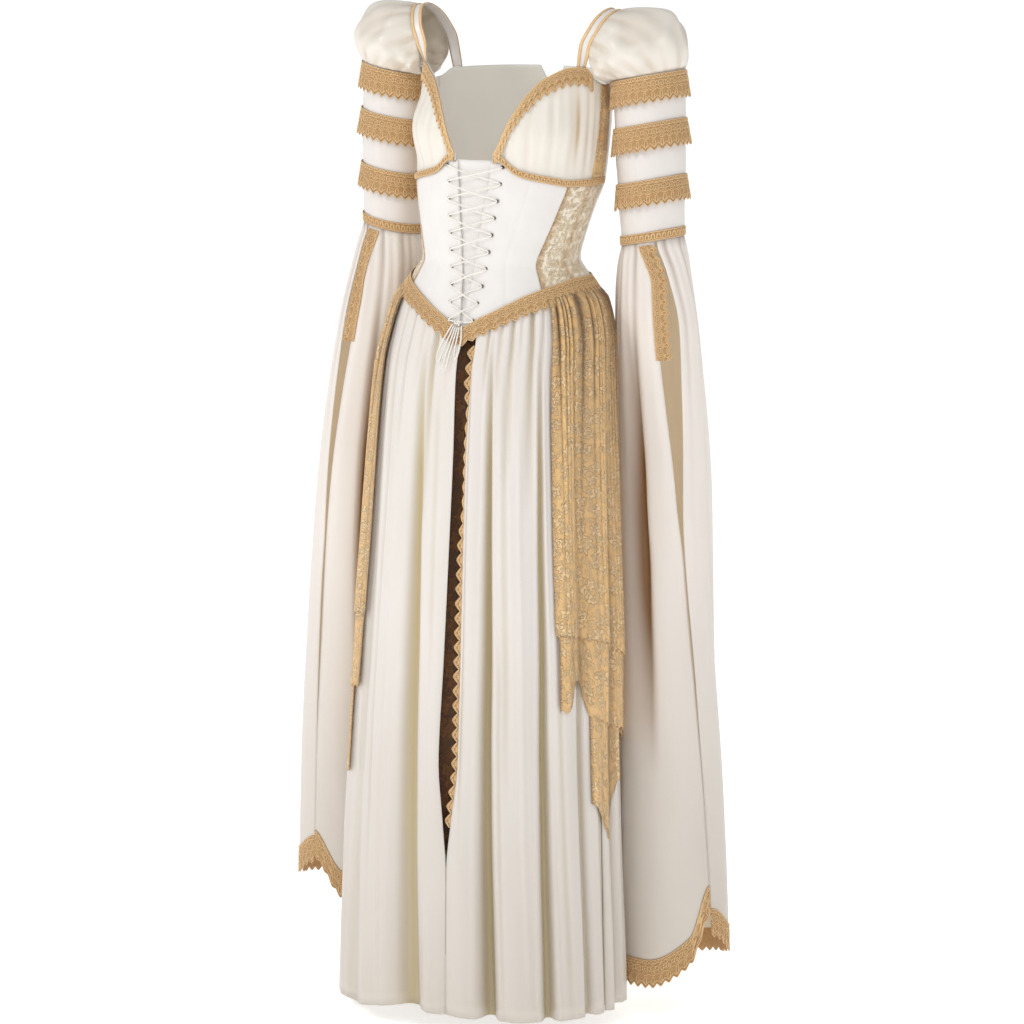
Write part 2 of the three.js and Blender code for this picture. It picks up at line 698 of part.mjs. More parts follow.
// The dark lace panel that closes the slit from behind, sagging in between its edges.
function makeSlitInset() {
  const angles = steps(INSET.from, INSET.to, INSET.sag.length - 1);
  const levels = [INSET.top, ...SKIRT_LEVELS, INSET.end];
  const places = levels.map((z) =>
    angles.map((angle, j) => {
      const out = -CLOTH.satin - INSET.behind - INSET.sag[j];
      return betweenLevels(SLIT_LINE, z, (level) => bodyPoint(angle, level, out));
    }),
  );
  add("slit_inset", wall(places, bodyCore, -CLOTH.lace, 0), "darkLace");
}

// The pointed gold edging behind the left edge of the slit.
function makeSlitEdging() {
  const { top, end, lap, teeth, tip, notch, behind, room } = EDGING;
  const rows = range(2 * teeth + 1).map((i) => {
    const z = mix(top, end, i / (2 * teeth));
    const reach = Math.min(i % 2 ? tip : notch, along(SLIT_GAP, "z", z, "wide") - room);
    return [lap, -reach].map((x) =>
      betweenLevels(SLIT_LINE, z, (level) => {
        const perMm = 1 / along(BODY, "z", level, "wide") / TURN;
        const angle = SLIT.angle + slitHalfAngle(level) + x * perMm;
        return bodyPoint(angle, level, -CLOTH.satin - behind);
      }),
    );
  });
  add("slit_edging", wall(rows, bodyCore, -CLOTH.lace, 0), "goldLace");
}

function makeWaistLace(side, name) {
  const angles = mirrored(steps(SIDE.gap, 180 - SIDE.gap, WAIST_LACE.columns), side);
  const places = WAIST_LACE.rows.map((drop, i) =>
    angles.map((angle, j) => ({
      angle,
      z: seamZ(WAIST_SEAM, angle) + drop - (i === 2 && j % 2 ? WAIST_LACE.point : 0),
      out: WAIST_LACE.stand,
    })),
  );
  add("waist_lace_" + name, bodyWall(places, 0, CLOTH.guipure), "goldLace");
}

function makeOverskirtLayer(layer, side, name) {
  const { from, to, stand, folds } = OVERSKIRT[layer];
  const hems = OVERSKIRT_HEMS[layer];
  const all = allPleatColumns().map((c) => (side > 0 ? c : { ...c, waist: -c.waist, hem: -c.hem }));
  const inside = all.filter((c) => c.hem > from + 1 && c.hem < to - 1).sort((a, b) => a.hem - b.hem);
  const start = edgeColumn(all, from);
  const end = edgeColumn(all, to);
  const columns = [start, ...inside, end];
  const hemZ = (c) => along(hems, "at", c.hem, "z");
  const lowest = Math.min(...columns.map(hemZ));
  const levels = SKIRT_LEVELS.filter((z) => z > lowest + 8);
  const place = (c, i, j, z) => {
    if (c.beside) {
      const [a, b] = c.beside.map((line) => place(line, i, j, z));
      return a.lerp(b, c.share);
    }
    const off = i ? stand + (j % 2 ? folds : 0) : stand * OVERSKIRT_TOP_STAND;
    const real = { ...c, waist: side * c.waist, hem: side * c.hem };
    const at = (level) => skirtPoint(real, level, off, OVERSKIRT_FOLLOW);
    return i ? betweenLevels(real, z, at) : at(z);
  };
  const topZ = (c) => yokeZ(c) - SEAM;
  const last = levels.length + 1;
  const rows = range(last + 1).map((i) =>
    columns.map((c, j) => {
      const level = i === 0 ? topZ(c) : i === last ? hemZ(c) : levels[i - 1];
      return place(c, i, j, Math.max(level, hemZ(c) + 3 * (last - i)));
    }),
  );
  add("overskirt_" + layer + "_" + name, wall(rows, bodyCore, 0, CLOTH.overskirt), "floralLace");
}

// Every upright grid line of the skirt, from the front round the back.
function allPleatColumns() {
  const left = pleatColumns(SLIT.angle, SKIRT_SEAMS.left);
  const right = pleatColumns(SKIRT_SEAMS.right, SLIT.angle);
  const backRight = pleatColumns(-180, SKIRT_SEAMS.right);
  const backLeft = pleatColumns(SKIRT_SEAMS.left, 180);
  return [...left, ...right, ...backRight, ...backLeft].filter((c) => !c.slit);
}

// A grid line at one angle, its shape between the lines beside it.
function edgeColumn(columns, hem) {
  const sorted = [...columns].sort((a, b) => a.hem - b.hem);
  const k = sorted.findIndex((c) => c.hem >= hem);
  const beside = k < 0 ? sorted.slice(-2) : [sorted[Math.max(k - 1, 0)], sorted[Math.max(k, 1)]];
  const share = (hem - beside[0].hem) / (beside[1].hem - beside[0].hem);
  return { hem, waist: mix(beside[0].waist, beside[1].waist, share), beside, share };
}

// The sleeves

function armAt(name, z) {
  const row = (column) => along(ARM[name], "z", z, column);
  return { x: row("x"), y: row("y"), wide: row("wide"), deep: row("deep") };
}

const armCore = (side, name) => (z) => {
  const arm = armAt(name, z);
  return new THREE.Vector3(side * arm.x, arm.y, z);
};

// A point of a sleeve: the angle is 0 at the front and grows outwards, and the rings tilt up
// on the outside of the arm.
function armPoint(side, name, angle, level, out = 0, tilt = SLEEVE.tilt) {
  const arm = armAt(name, level);
  const s = Math.sin(angle * TURN);
  const c = Math.cos(angle * TURN);
  const x = arm.x + (arm.wide + out) * s;
  const y = arm.y - (arm.deep + out) * c;
  return new THREE.Vector3(side * x, y, level + tilt * (arm.wide + out) * s);
}

const roundAngles = (count) => range(count).map((k) => (360 * k) / count);

// A point on the upper sleeve's facets, which run straight between its levels.
function sleevePoint(side, name, angle, z, out) {
  const levels = SLEEVE.levels;
  const k = levels.findIndex((level) => level <= z);
  const [above, below] = [levels[k - 1], levels[k]];
  const high = armPoint(side, name, angle, above, out);
  return high.lerp(armPoint(side, name, angle, below, out), (above - z) / (above - below));
}

function makeUpperSleeve(side, name) {
  const rows = SLEEVE.levels.map((z) =>
    roundAngles(SLEEVE.columns).map((angle) => armPoint(side, name, angle, z)),
  );
  add("upper_sleeve_" + name, wall(rows, armCore(side, name), -CLOTH.satin, 0, true), "satin");
}

function makeSleeveLaces(side, name) {
  SLEEVE_LACES.forEach(({ top, deep, flare }, k) => {
    const rows = [top, top - deep].map((z, i) =>
      roundAngles(SLEEVE.columns).map((angle, j) => {
        const notch = i && j % 2 === 0 ? SLEEVE_LACE.notch : 0;
        return sleevePoint(side, name, angle, z + notch, SLEEVE_LACE.stand + flare * i);
      }),
    );
    const geometry = wall(rows, armCore(side, name), 0, CLOTH.guipure, true);
    add("sleeve_lace_" + (k + 1) + "_" + name, geometry, "goldLace");
  });
  const braid = [SLEEVE.elbowZ + ELBOW_BRAID.deep, SLEEVE.elbowZ].map((z) =>
    roundAngles(SLEEVE.columns).map((angle) =>
      sleevePoint(side, name, angle, z, ELBOW_BRAID.stand),
    ),
  );
  add("elbow_braid_" + name, wall(braid, armCore(side, name), 0, CLOTH.guipure, true), "goldLace");
}

// The armhole that the puff is sewn into, by the turn round it: 0 on top, 90 in front.
function armholePoint(side, turn) {
  const x = along(ARMHOLE_REACH, "turn", Math.abs(turn > 180 ? turn - 360 : turn), "x");
  const y = ARMHOLE.y - ARMHOLE.front * Math.sin(turn * TURN);
  return new THREE.Vector3(side * x, y, ARMHOLE.z + ARMHOLE.up * Math.cos(turn * TURN));
}

// A point of the puff: from the sleeve's top ring to the armhole, swelling between them.
function puffPoint(side, name, turn, share, gather) {
  const low = armPoint(side, name, 90 - turn, SLEEVE.topZ + 0.5);
  const high = armholePoint(side, turn);
  const c = Math.cos(turn * TURN);
  const s = Math.sin(turn * TURN);
  const { out, front, inner } = PUFF.swell;
  const amount = Math.hypot((c > 0 ? out : inner) * c, front * s);
  const swell = (amount + gather) * Math.pow(Math.sin(Math.PI * share), 0.75);
  const away = new THREE.Vector3(side * 0.8 * Math.max(c, 0), -s, 0.6 * Math.max(c, 0));
  const direction = away.lengthSq() < 1e-6 ? new THREE.Vector3(-side, 0, 0) : away.normalize();
  return low.lerp(high, share).addScaledVector(direction, swell);
}

function makePuff(side, name) {
  const rows = PUFF.rows.map((share) =>
    range(PUFF.columns).map((j) =>
      puffPoint(side, name, (360 * j) / PUFF.columns, share, j % 2 ? PUFF.gather : -PUFF.gather),
    ),
  );
  const middle = puffPoint(side, name, 0, 0.5, 0).lerp(puffPoint(side, name, 180, 0.5, 0), 0.5);
  add("puff_" + name, wall(rows, () => middle, -CLOTH.satin, 0, true), "satin");
}

// The strap lies just inside the top of the armhole, from the cup's edge to the back's.
function makeStrap(side, name) {
  const { width, inside, turn, steps: count, front, back, endSpan } = STRAP;
  const end = (outer, inner) =>
    [outer, inner].map((angle) => bodyPoint(side * angle, seamZ(NECKLINE, angle) + 0.5, -0.2));
  const inward = new THREE.Vector3(-side, 0, 0.12).normalize();
  const over = steps(turn, -turn, count).map((at) => {
    const start = armholePoint(side, at).addScaledVector(inward, inside);
    return [start, start.clone().addScaledVector(inward, width)];
  });
  const rows = [end(front, front - endSpan), ...over, end(back, back + endSpan)];
  const under = new THREE.Vector3(side * 150, ARMHOLE.y, 280);
  add("shoulder_strap_" + name, wall(rows, () => under, -CLOTH.satin, 0), "satin");
}

function bellSlit(name, z) {
  return { at: along(BELL_SLIT[name], "z", z, "at"), half: along(BELL_SLIT[name], "z", z, "half") };
}

// A point of the bell: round runs from the slit's outer edge, behind the arm, to its front
// flap.
function bellPoint(side, name, round, z, out = 0) {
  const slit = bellSlit(name, z);
  const angle = slit.at + slit.half + round * (360 - 2 * slit.half);
  let fold = 0;
  for (const { top, hem, half, depth, start, end } of BELL_FOLDS) {
    const t = clamp((start - z) / (start - end));
    const fade = end > BELL_FOLD_REACHES_HEM ? Math.sin(Math.PI * t) : Math.sqrt(t);
    const place = mix(top, hem, Math.min(1, (BELL_DRIFT.top - z) / BELL_DRIFT.span));
    fold += depth * fade * bump((round - place) / half);
  }
  const tilt = SLEEVE.tilt * clamp((z - BELL_TILT.end) / BELL_TILT.span);
  return armPoint(side, name, angle, z, out - fold, tilt);
}

const bellHem = (name, round) => along(BELL_HEM[name], "round", round, "z");

function makeBell(side, name) {
  const start = SLEEVE.elbowZ - SEAM;
  const rows = BELL_SHARES.map((share) =>
    BELL_COLUMNS.map((round) => bellPoint(side, name, round, mix(start, bellHem(name, round), share))),
  );
  add("bell_sleeve_" + name, wall(rows, armCore(side, name), -CLOTH.satin, 0), "satin");
}

// The lace hangs from a narrow lap on the bell's hem and ends in points.
function makeBellHemLace(side, name) {
  const start = SLEEVE.elbowZ - SEAM;
  const onBell = (round) => {
    const [above, hem] = BELL_SHARES.slice(-2).map((share) =>
      bellPoint(side, name, round, mix(start, bellHem(name, round), share)),
    );
    return { above, hem };
  };
  const columns = BELL_COLUMNS.map(onBell);
  const between = columns.flatMap((column, j) => {
    if (!j) return [column];
    const before = columns[j - 1];
    const halfway = {
      above: before.above.clone().lerp(column.above, 0.5),
      hem: before.hem.clone().lerp(column.hem, 0.5),
    };
    return [halfway, column];
  });
  const { lap, deep, notch, stand } = BELL_HEM_LACE;
  const rows = [() => -lap, (j) => deep - (j % 2 ? 0 : notch)].map((drop) =>
    between.map(({ above, hem }, j) => {
      const down = hem.clone().sub(above).normalize();
      return hem.clone().addScaledVector(down, drop(j));
    }),
  );
  const geometry = wall(rows, armCore(side, name), stand, stand + CLOTH.guipure);
  add("bell_hem_lace_" + name, geometry, "goldLace");
}

// Points of lace along the front flap's edge, reaching into the slit.
function makeBellSlitLace(side, name) {
  const { top, end, teeth, lap, tip, notch, stand } = BELL_SLIT_LACE;
  const rows = steps(top, end, 2 * teeth).map((z, i) => {
    const around = 2 * Math.PI * armAt(name, z).wide;
    const edge = bellPoint(side, name, 1, z, stand);
    const near = bellPoint(side, name, 1 - lap / around, z, stand);
    const outwards = edge.clone().sub(near).normalize();
    const opening = (2 * bellSlit(name, z).half * around) / 360;
    const reach = Math.max(0.6, Math.min(i % 2 ? tip : notch, opening - 2));
    return [near, edge.addScaledVector(outwards, reach)];
  });
  add("bell_slit_lace_" + name, wall(rows, armCore(side, name), 0, CLOTH.guipure), "goldLace");
}

// The lacing

// A round cord along chosen points.
function cord(points, divisions) {
  const radius = CORD.diameter / 2;
  const ring = roundAngles(CORD.sides).map(
    (angle) => new THREE.Vector2(radius * Math.cos(angle * TURN), radius * Math.sin(angle * TURN)),
  );
  const path = new THREE.CatmullRomCurve3(points, false, "centripetal");
  return new THREE.ExtrudeGeometry(new THREE.Shape(ring), {
    extrudePath: path,
    steps: divisions,
    bevelEnabled: false,
  });
}

// Where an eyelet sits: pair 0 is the top one.
function eyelet(pair, side, out) {
  const z = LACING.topZ - pair * LACING.stepZ;
  const half = mix(LACING.topHalf, LACING.endHalf, pair / (LACING.pairs - 1));
  const angle = Math.asin(half / along(BODY, "z", z, "wide")) / TURN;
  return bodyPoint(side * angle, z, out);
}

// One of the two crossing cords, from the first pair of eyelets to the last.
function makeLacing(side, name, over) {
  const low = CORD.low;
  const lift = over ? CORD.over : 0;
  const points = [];
  for (let pair = 0; pair < LACING.pairs; pair++) {
    const here = side * (pair % 2 ? -1 : 1);
    const start = eyelet(pair, here, low);
    points.push(start);
    if (pair === LACING.pairs - 1) {
      points.push(inFront(here > 0 ? LACING_ENDS.left : LACING_ENDS.right));
      break;
    }
    const middle = (start.z + eyelet(pair + 1, -here, low).z) / 2;
    const slope = LACING.stepZ / 4;
    const aside = placketAngle(middle) * 0.5 + 2;
    points.push(
      bodyPoint(here * aside, middle + slope * 0.7, low + lift * 0.8),
      bodyPoint(0, middle, low + lift),
      bodyPoint(-here * aside, middle - slope * 0.7, low + lift * 0.8),
    );
  }
  add("lacing_" + name, cord(points, 40), "cord");
}

// A place in front of the body by its distance across, its height and its distance out.
function inFront([x, z, out]) {
  return bodyPoint(Math.asin(x / along(BODY, "z", z, "wide")) / TURN, z, out);
}

function makeBow() {
  const knot = new THREE.SphereGeometry(1, 10, 8);
  knot.scale(...KNOT.half);
  knot.translate(...inFront(KNOT.at).toArray());
  add("lacing_knot", knot, "cord");
  for (const [name, places] of Object.entries(BOW)) {
    add(name, cord(places.map(inFront), 2 * places.length + 1), "cord");
  }
}

makeStomacher();
makeBackPlacket();
makeSkirt();
makeSlitInset();
makeSlitEdging();
for (const [side, name] of [
  [1, "left"],
  [-1, "right"],
]) {
  makeCorset(side, name);
  makeSidePanel(side, name);
  makeCup(side, name);
  makeBack(side, name);
  makeStrap(side, name);
  makeBodiceTrims(side, name);
  makeWaistLace(side, name);
  for (const layer of Object.keys(OVERSKIRT)) makeOverskirtLayer(layer, side, name);
  makePuff(side, name);
  makeUpperSleeve(side, name);
  makeSleeveLaces(side, name);
  makeBell(side, name);
  makeBellHemLace(side, name);
  makeBellSlitLace(side, name);
}
makeLacing(1, "left", true);
makeLacing(-1, "right", false);
makeBow();

export default gown;
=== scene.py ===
"""A floor-length medieval gown in ivory satin with gold lace, hollow as it is worn.

Sizes are in millimetres until a mesh is made. Angles round the body are in degrees, 0 at the front
and growing towards the wearer's left. The origin is the middle of the waist, the front faces -Y.
"""

import logging
import math
from collections.abc import Callable, Sequence
from dataclasses import dataclass, field
from enum import Enum

import bpy
import numpy as np
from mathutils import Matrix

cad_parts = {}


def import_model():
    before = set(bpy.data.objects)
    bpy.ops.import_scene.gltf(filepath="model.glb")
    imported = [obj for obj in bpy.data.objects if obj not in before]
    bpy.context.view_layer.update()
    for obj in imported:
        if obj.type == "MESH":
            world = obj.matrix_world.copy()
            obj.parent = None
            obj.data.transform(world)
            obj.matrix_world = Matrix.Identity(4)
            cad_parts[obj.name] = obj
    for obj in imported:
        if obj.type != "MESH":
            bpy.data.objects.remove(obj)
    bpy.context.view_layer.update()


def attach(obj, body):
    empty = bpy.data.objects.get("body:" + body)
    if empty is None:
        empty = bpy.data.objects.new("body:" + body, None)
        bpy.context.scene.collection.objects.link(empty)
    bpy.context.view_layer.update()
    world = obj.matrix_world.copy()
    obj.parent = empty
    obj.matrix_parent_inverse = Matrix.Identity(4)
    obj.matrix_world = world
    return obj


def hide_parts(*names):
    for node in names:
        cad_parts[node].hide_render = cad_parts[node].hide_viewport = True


MM = 0.001
TURN = math.pi / 180
SEAM = 0.3
SIDES = {"left": 1, "right": -1}
LOG = logging.getLogger("gown")
TINY = 1e-9
WELD = 1e-5
ROUND = 3
FULL = 2 * math.pi
Array = np.ndarray
Core = Callable[[Array], Array]
Surface = Callable[[Array, Array], Array]
Socket = bpy.types.NodeSocket
Piece = bpy.types.Object


# Shapes shared by every piece


class Curve:
    """A smooth line through a few chosen values, level at both ends."""

    def __init__(self, *table: tuple[float, float]) -> None:
        """Fits the line.

        Args:
            table: pairs of place and value.
        """
        rows = sorted(table)
        self.keys = np.array([row[0] for row in rows], float)
        self.values = np.array([row[1] for row in rows], float)
        rise = np.diff(self.values) / np.diff(self.keys)
        both = rise[:-1] * rise[1:]
        total = np.where(rise[:-1] + rise[1:] == 0, 1.0, rise[:-1] + rise[1:])
        self.slopes = np.concatenate([[0.0], np.where(both > 0, 2 * both / total, 0.0), [0.0]])

    def __call__(self, at: Array | float) -> Array:
        """Reads the line.

        Args:
            at: the places to read.

        Returns:
            The values there; beyond the ends the line stays level.
        """
        at = np.clip(np.asarray(at, float), self.keys[0], self.keys[-1])
        i = np.clip(np.searchsorted(self.keys, at, side="right") - 1, 0, len(self.keys) - 2)
        span = self.keys[i + 1] - self.keys[i]
        t = (at - self.keys[i]) / span
        return (
            (2 * t**3 - 3 * t**2 + 1) * self.values[i]
            + (t**3 - 2 * t**2 + t) * span * self.slopes[i]
            + (3 * t**2 - 2 * t**3) * self.values[i + 1]
            + (t**3 - t**2) * span * self.slopes[i + 1]
        )


def mix(a: Array | float, b: Array | float, t: Array | float) -> Array | float:
    """Returns the value a share t of the way from a to b."""
    return a + (b - a) * t


def bump(x: Array) -> Array:
    """Returns a smooth hill that is 1 at 0 and 0 from -1 and 1 outwards."""
    return np.where(np.abs(x) < 1, (1 + np.cos(np.pi * np.clip(x, -1, 1))) / 2, 0.0)


def stack(x: Array, y: Array, z: Array) -> Array:
    """Returns points from their three coordinates."""
    return np.stack(np.broadcast_arrays(x, y, z), axis=-1).astype(float)


def grid(rows: int, columns: int) -> tuple[Array, Array]:
    """Returns shares down and across a grid, as a column and a row."""
    return np.linspace(0, 1, rows)[:, None], np.linspace(0, 1, columns)[None, :]


def curves(*rows: tuple[float, ...]) -> tuple[Curve, ...]:
    """Returns one smooth line for each column after the first of a table."""
    return tuple(Curve(*[(row[0], row[k]) for row in rows]) for k in range(1, len(rows[0])))


def rows_of(kind: type, *rows: tuple[float, ...]) -> tuple:
    """Returns one object of a kind for each row of its sizes."""
    return tuple(kind(*row) for row in rows)


def wrap(angle: Array | float) -> Array | float:
    """Returns an angle brought between -180 and 180 degrees."""
    return (angle + 180) % 360 - 180


def unit(vectors: Array) -> Array:
    """Returns vectors brought to a length of 1."""
    return vectors / (np.linalg.norm(vectors, axis=-1, keepdims=True) + TINY)


def gaps(points: Array, axis: int = 0) -> Array:
    """Returns the distances between neighbouring points along one axis of a grid."""
    return np.linalg.norm(np.diff(points, axis=axis), axis=-1)


def running(lengths: Array) -> Array:
    """Returns how far along each point is, from the distances between them."""
    return np.concatenate([[0.0], np.cumsum(lengths)])


def outward(normals: Array, points: Array, core: Array) -> Array:
    """Returns normals turned, all together, to look away from a core."""
    return -normals if np.sum(normals * (points - core)) < 0 else normals


class Body:
    """The gown's outline round the body: half width, half depth and middle by height."""

    wide, deep, middle_x, middle_y = curves(
        (300, 136, 107, 3, 33),
        (230, 142, 118, 3, 30),
        (185, 143, 122, 2, 26),
        (112, 141, 115, 1, 16),
        (75, 133, 108, 0, 5),
        (32, 123, 102, 0, -5),
        (0, 117, 101, 0, -10),
        (-20, 129, 104, 0, -10),
        (-50, 150, 113, 0, -10),
        (-100, 164, 123, 0, -16),
        (-150, 171, 128, -1, -25),
        (-265, 179, 132, -1, -36),
        (-400, 187, 137, -2, -42),
        (-560, 198, 142, -3, -49),
        (-700, 205, 145, -4, -57),
        (-864, 213, 148, -6, -60),
        (-1120, 222, 150, -8, -60),
    )
    waist_seam = Curve((0, -94), (12, -78), (38, -47), (60, -34), (80, -28), (180, -30))
    underbust = Curve((0, 143), (13, 143), (30, 126), (48, 117), (62, 112), (180, 112))
    neckline = Curve(
        (10, 148), (13, 156), (22, 207), (30, 238), (40, 260), (58, 274),
        (68, 273), (78, 256), (90, 248), (102, 250), (113, 261), (180, 264),
    )  # fmt: skip

    @classmethod
    def point(cls, angle: Array, z: Array, out: Array | float = 0.0) -> Array:
        """Places points on the body's outline.

        Args:
            angle: degrees from the front.
            z: heights.
            out: distance outwards along the outline's own normal.

        Returns:
            The points.
        """
        wide, deep = cls.wide(z), cls.deep(z)
        s, c = np.sin(angle * TURN), np.cos(angle * TURN)
        reach = np.hypot(s / wide, c / deep)
        x = cls.middle_x(z) + wide * s + out * s / wide / reach
        y = cls.middle_y(z) - deep * c - out * c / deep / reach
        return stack(x, y, z)

    @classmethod
    def core(cls, z: Array) -> Array:
        """Returns the middle of the body at each height."""
        return stack(cls.middle_x(z), cls.middle_y(z), z)

    @classmethod
    def across(cls, x: float, z: float, out: float) -> Array:
        """Returns the point in front of the body at a distance across."""
        return cls.point(math.asin(x / float(cls.wide(z))) / TURN, z, out)


# Finishes


def colour(code: str) -> tuple[float, float, float, float]:
    """Reads a colour.

    Args:
        code: its six digits.

    Returns:
        The linear colour.
    """
    parts = [int(code[k : k + 2], 16) / 255 for k in (0, 2, 4)]
    linear = [p / 12.92 if p <= 0.04045 else ((p + 0.055) / 1.055) ** 2.4 for p in parts]
    return (*linear, 1.0)


class Slot(Enum):
    """The record's material slots."""

    SATIN = "satin"
    CORSET = "corset"
    GOLD_LACE = "gold_lace"
    FLORAL_LACE = "floral_lace"
    LACE_OVER_IVORY = "lace_over_ivory"
    DARK_LACE = "dark_lace"
    CORD = "cord"


class Held(Enum):
    """How a sheet is held."""

    HUNG = "hung"
    LAID = "laid"
    GATHERED = "gathered"


class Lay(Enum):
    """How a cord lies."""

    TAUT = "taut"
    HANGING = "hanging"


class FarEnd(Enum):
    """What a cord's far end is."""

    KNOT = "knot"
    OBJECT = "object"
    BARE = "bare"


class Board:
    """A material's node board with short calls for the nodes that the finishes share."""

    def __init__(self, name: str) -> None:
        """Starts a material with one principled shader.

        Args:
            name: the finish's name.
        """
        self.material = bpy.data.materials.new(name)
        self.material.use_nodes = True
        self.tree = self.material.node_tree
        self.shader = self.tree.nodes["Principled BSDF"]
        self.place = self.node("ShaderNodeUVMap", uv_map="cloth").outputs["UV"]

    def node(
        self, kind: str, inputs: dict[str | int, object] | None = None, **settings: object
    ) -> bpy.types.Node:
        """Adds a node.

        Args:
            kind: its type.
            inputs: what its sockets are linked or set to.
            settings: its properties.

        Returns:
            The node.
        """
        node = self.tree.nodes.new(kind)
        for key, value in settings.items():
            setattr(node, key, value)
        for key, value in (inputs or {}).items():
            self.feed(node.inputs[key], value)
        return node

    def feed(self, socket: Socket, value: object) -> None:
        """Links a socket to an output, or sets it to a value.

        Args:
            socket: the socket.
            value: the output or the value.
        """
        if isinstance(value, bpy.types.NodeSocket):
            self.tree.links.new(value, socket)
        else:
            socket.default_value = value

    def sum(self, operation: str, *values: object, clamp: bool = False) -> Socket:
        """Works out one arithmetic step.

        Args:
            operation: its name.
            values: what it works on.
            clamp: whether the result is kept between 0 and 1.

        Returns:
            The result.
        """
        node = self.node("ShaderNodeMath", dict(enumerate(values)), operation=operation, use_clamp=clamp)
        return node.outputs[0]

    def blend(self, share: object, first: object, second: object) -> Socket:
        """Mixes two colours.

        Args:
            share: how much of the second one shows.
            first: the colour at 0.
            second: the colour at 1.

        Returns:
            The mixed colour.
        """
        inputs = {"Factor": share, "A": first, "B": second}
        return self.node("ShaderNodeMix", inputs, data_type="RGBA").outputs["Result"]

    def fold(self) -> Socket:
        """Returns the fold attribute, from 0 to 1, which mixes in a finish's fold colour: painted shade in
        folds, or the gold seam lines on the side panels.
        """
        return self.node("ShaderNodeAttribute", attribute_name="fold").outputs["Fac"]

    def axes(self, vector: Socket | None = None) -> tuple[Socket, Socket]:
        """Takes a vector apart.

        Args:
            vector: the vector, or none for the place on the cloth.

        Returns:
            Its first two coordinates.
        """
        parts = self.node("ShaderNodeSeparateXYZ", {0: self.place if vector is None else vector})
        return parts.outputs["X"], parts.outputs["Y"]

    def scaled(self, x: float, y: float) -> Socket:
        """Returns the place on the cloth, stretched by x and y."""
        inputs = {0: self.place, 1: (x, y, 1.0)}
        return self.node("ShaderNodeVectorMath", inputs, operation="MULTIPLY").outputs["Vector"]

    def noise(self, x: float, y: float, detail: float = 3.0) -> Socket:
        """Makes a soft uneven value over the cloth.

        Args:
            x: patches to the metre across.
            y: patches to the metre down.
            detail: how fine the smallest of them are.

        Returns:
            The value, from 0 to 1.
        """
        inputs = {"Vector": self.scaled(x, y), "Scale": 1.0, "Detail": detail}
        return self.node("ShaderNodeTexNoise", inputs, noise_dimensions="2D").outputs["Fac"]

    def cells(self, feature: str, place: Socket, uneven: float) -> bpy.types.Node:
        """Divides the cloth into cells.

        Args:
            feature: what is measured in them.
            place: where on the cloth each point is, one cell to the unit.
            uneven: how far they are from an even grid, from 0 to 1.

        Returns:
            The cells' node.
        """
        inputs = {"Vector": place, "Scale": 1.0, "Randomness": uneven}
        return self.node("ShaderNodeTexVoronoi", inputs, voronoi_dimensions="2D", feature=feature)

    def near(self, distance: Socket, rate: float) -> Socket:
        """Returns 1 where a distance is 0, less further off, down to 0."""
        return self.sum("SUBTRACT", 1.0, self.sum("MULTIPLY", distance, rate), clamp=True)

    def lower(self, start: float, rate: float) -> Socket:
        """Makes a share that grows down a long piece.

        Args:
            start: how far below its top the share starts, in metres.
            rate: how much it grows to the metre.

        Returns:
            The share, from 0 to 1.
        """
        below = self.sum("SUBTRACT", -start, self.axes()[1])
        return self.sum("MULTIPLY", below, rate, clamp=True)

    def ridges(self, per_metre: float) -> Socket:
        """Returns even fine ridges across the cloth, from 0 to 1."""
        wave = self.sum("SINE", self.sum("MULTIPLY", self.axes()[1], per_metre * FULL))
        return self.sum("MULTIPLY_ADD", wave, 0.5, 0.5)

    def flowers(self, across: float, petals: int, size: float) -> tuple[Socket, Socket]:
        """Scatters flowers over the cloth.

        Args:
            across: the width that one flower has to itself, in metres.
            petals: how many petals each has.
            size: a flower's radius as a share of that width.

        Returns:
            Where the petals are, and where their corded outlines are, each from 0 to 1.
        """
        petal_dip, heart_size, sharp, heart_sharp = 0.28, 0.32, 22.0, 30.0
        coarse = self.scaled(1.1 / across, 1.1 / across)
        drift = self.node("ShaderNodeTexNoise", {"Vector": coarse, "Scale": 1.0}, noise_dimensions="2D")
        shift = {0: drift.outputs["Color"], 1: (0.5, 0.5, 0.0), 2: self.scaled(1 / across, 1 / across)}
        place = self.node("ShaderNodeVectorMath", shift, operation="MULTIPLY_ADD").outputs["Vector"]
        cells = self.cells("F1", place, 0.9)
        middle = {0: place, 1: cells.outputs["Position"]}
        off = self.node("ShaderNodeVectorMath", middle, operation="SUBTRACT").outputs["Vector"]
        x, y = self.axes(off)
        spin = self.node("ShaderNodeSeparateColor", {0: cells.outputs["Color"]}).outputs[0]
        turn = self.sum("ARCTAN2", y, x)
        turned = self.sum("MULTIPLY_ADD", turn, float(petals), self.sum("MULTIPLY", spin, 6.0))
        edge = self.sum("MULTIPLY_ADD", self.sum("COSINE", turned), size * petal_dip, size)
        gap = self.sum("SUBTRACT", edge, cells.outputs["Distance"])
        rim = self.near(self.sum("ABSOLUTE", gap), sharp)
        heart = self.sum("SUBTRACT", size * heart_size, cells.outputs["Distance"])
        heart_rim = self.near(self.sum("ABSOLUTE", heart), heart_sharp)
        return self.sum("MULTIPLY", gap, sharp, clamp=True), self.sum("MAXIMUM", rim, heart_rim)

    def net(self, per_metre: float) -> Socket:
        """Returns where the threads of a fine net run, from 0 to 1."""
        cells = self.cells("DISTANCE_TO_EDGE", self.scaled(per_metre, per_metre), 0.35)
        return self.near(cells.outputs["Distance"], 5.0)

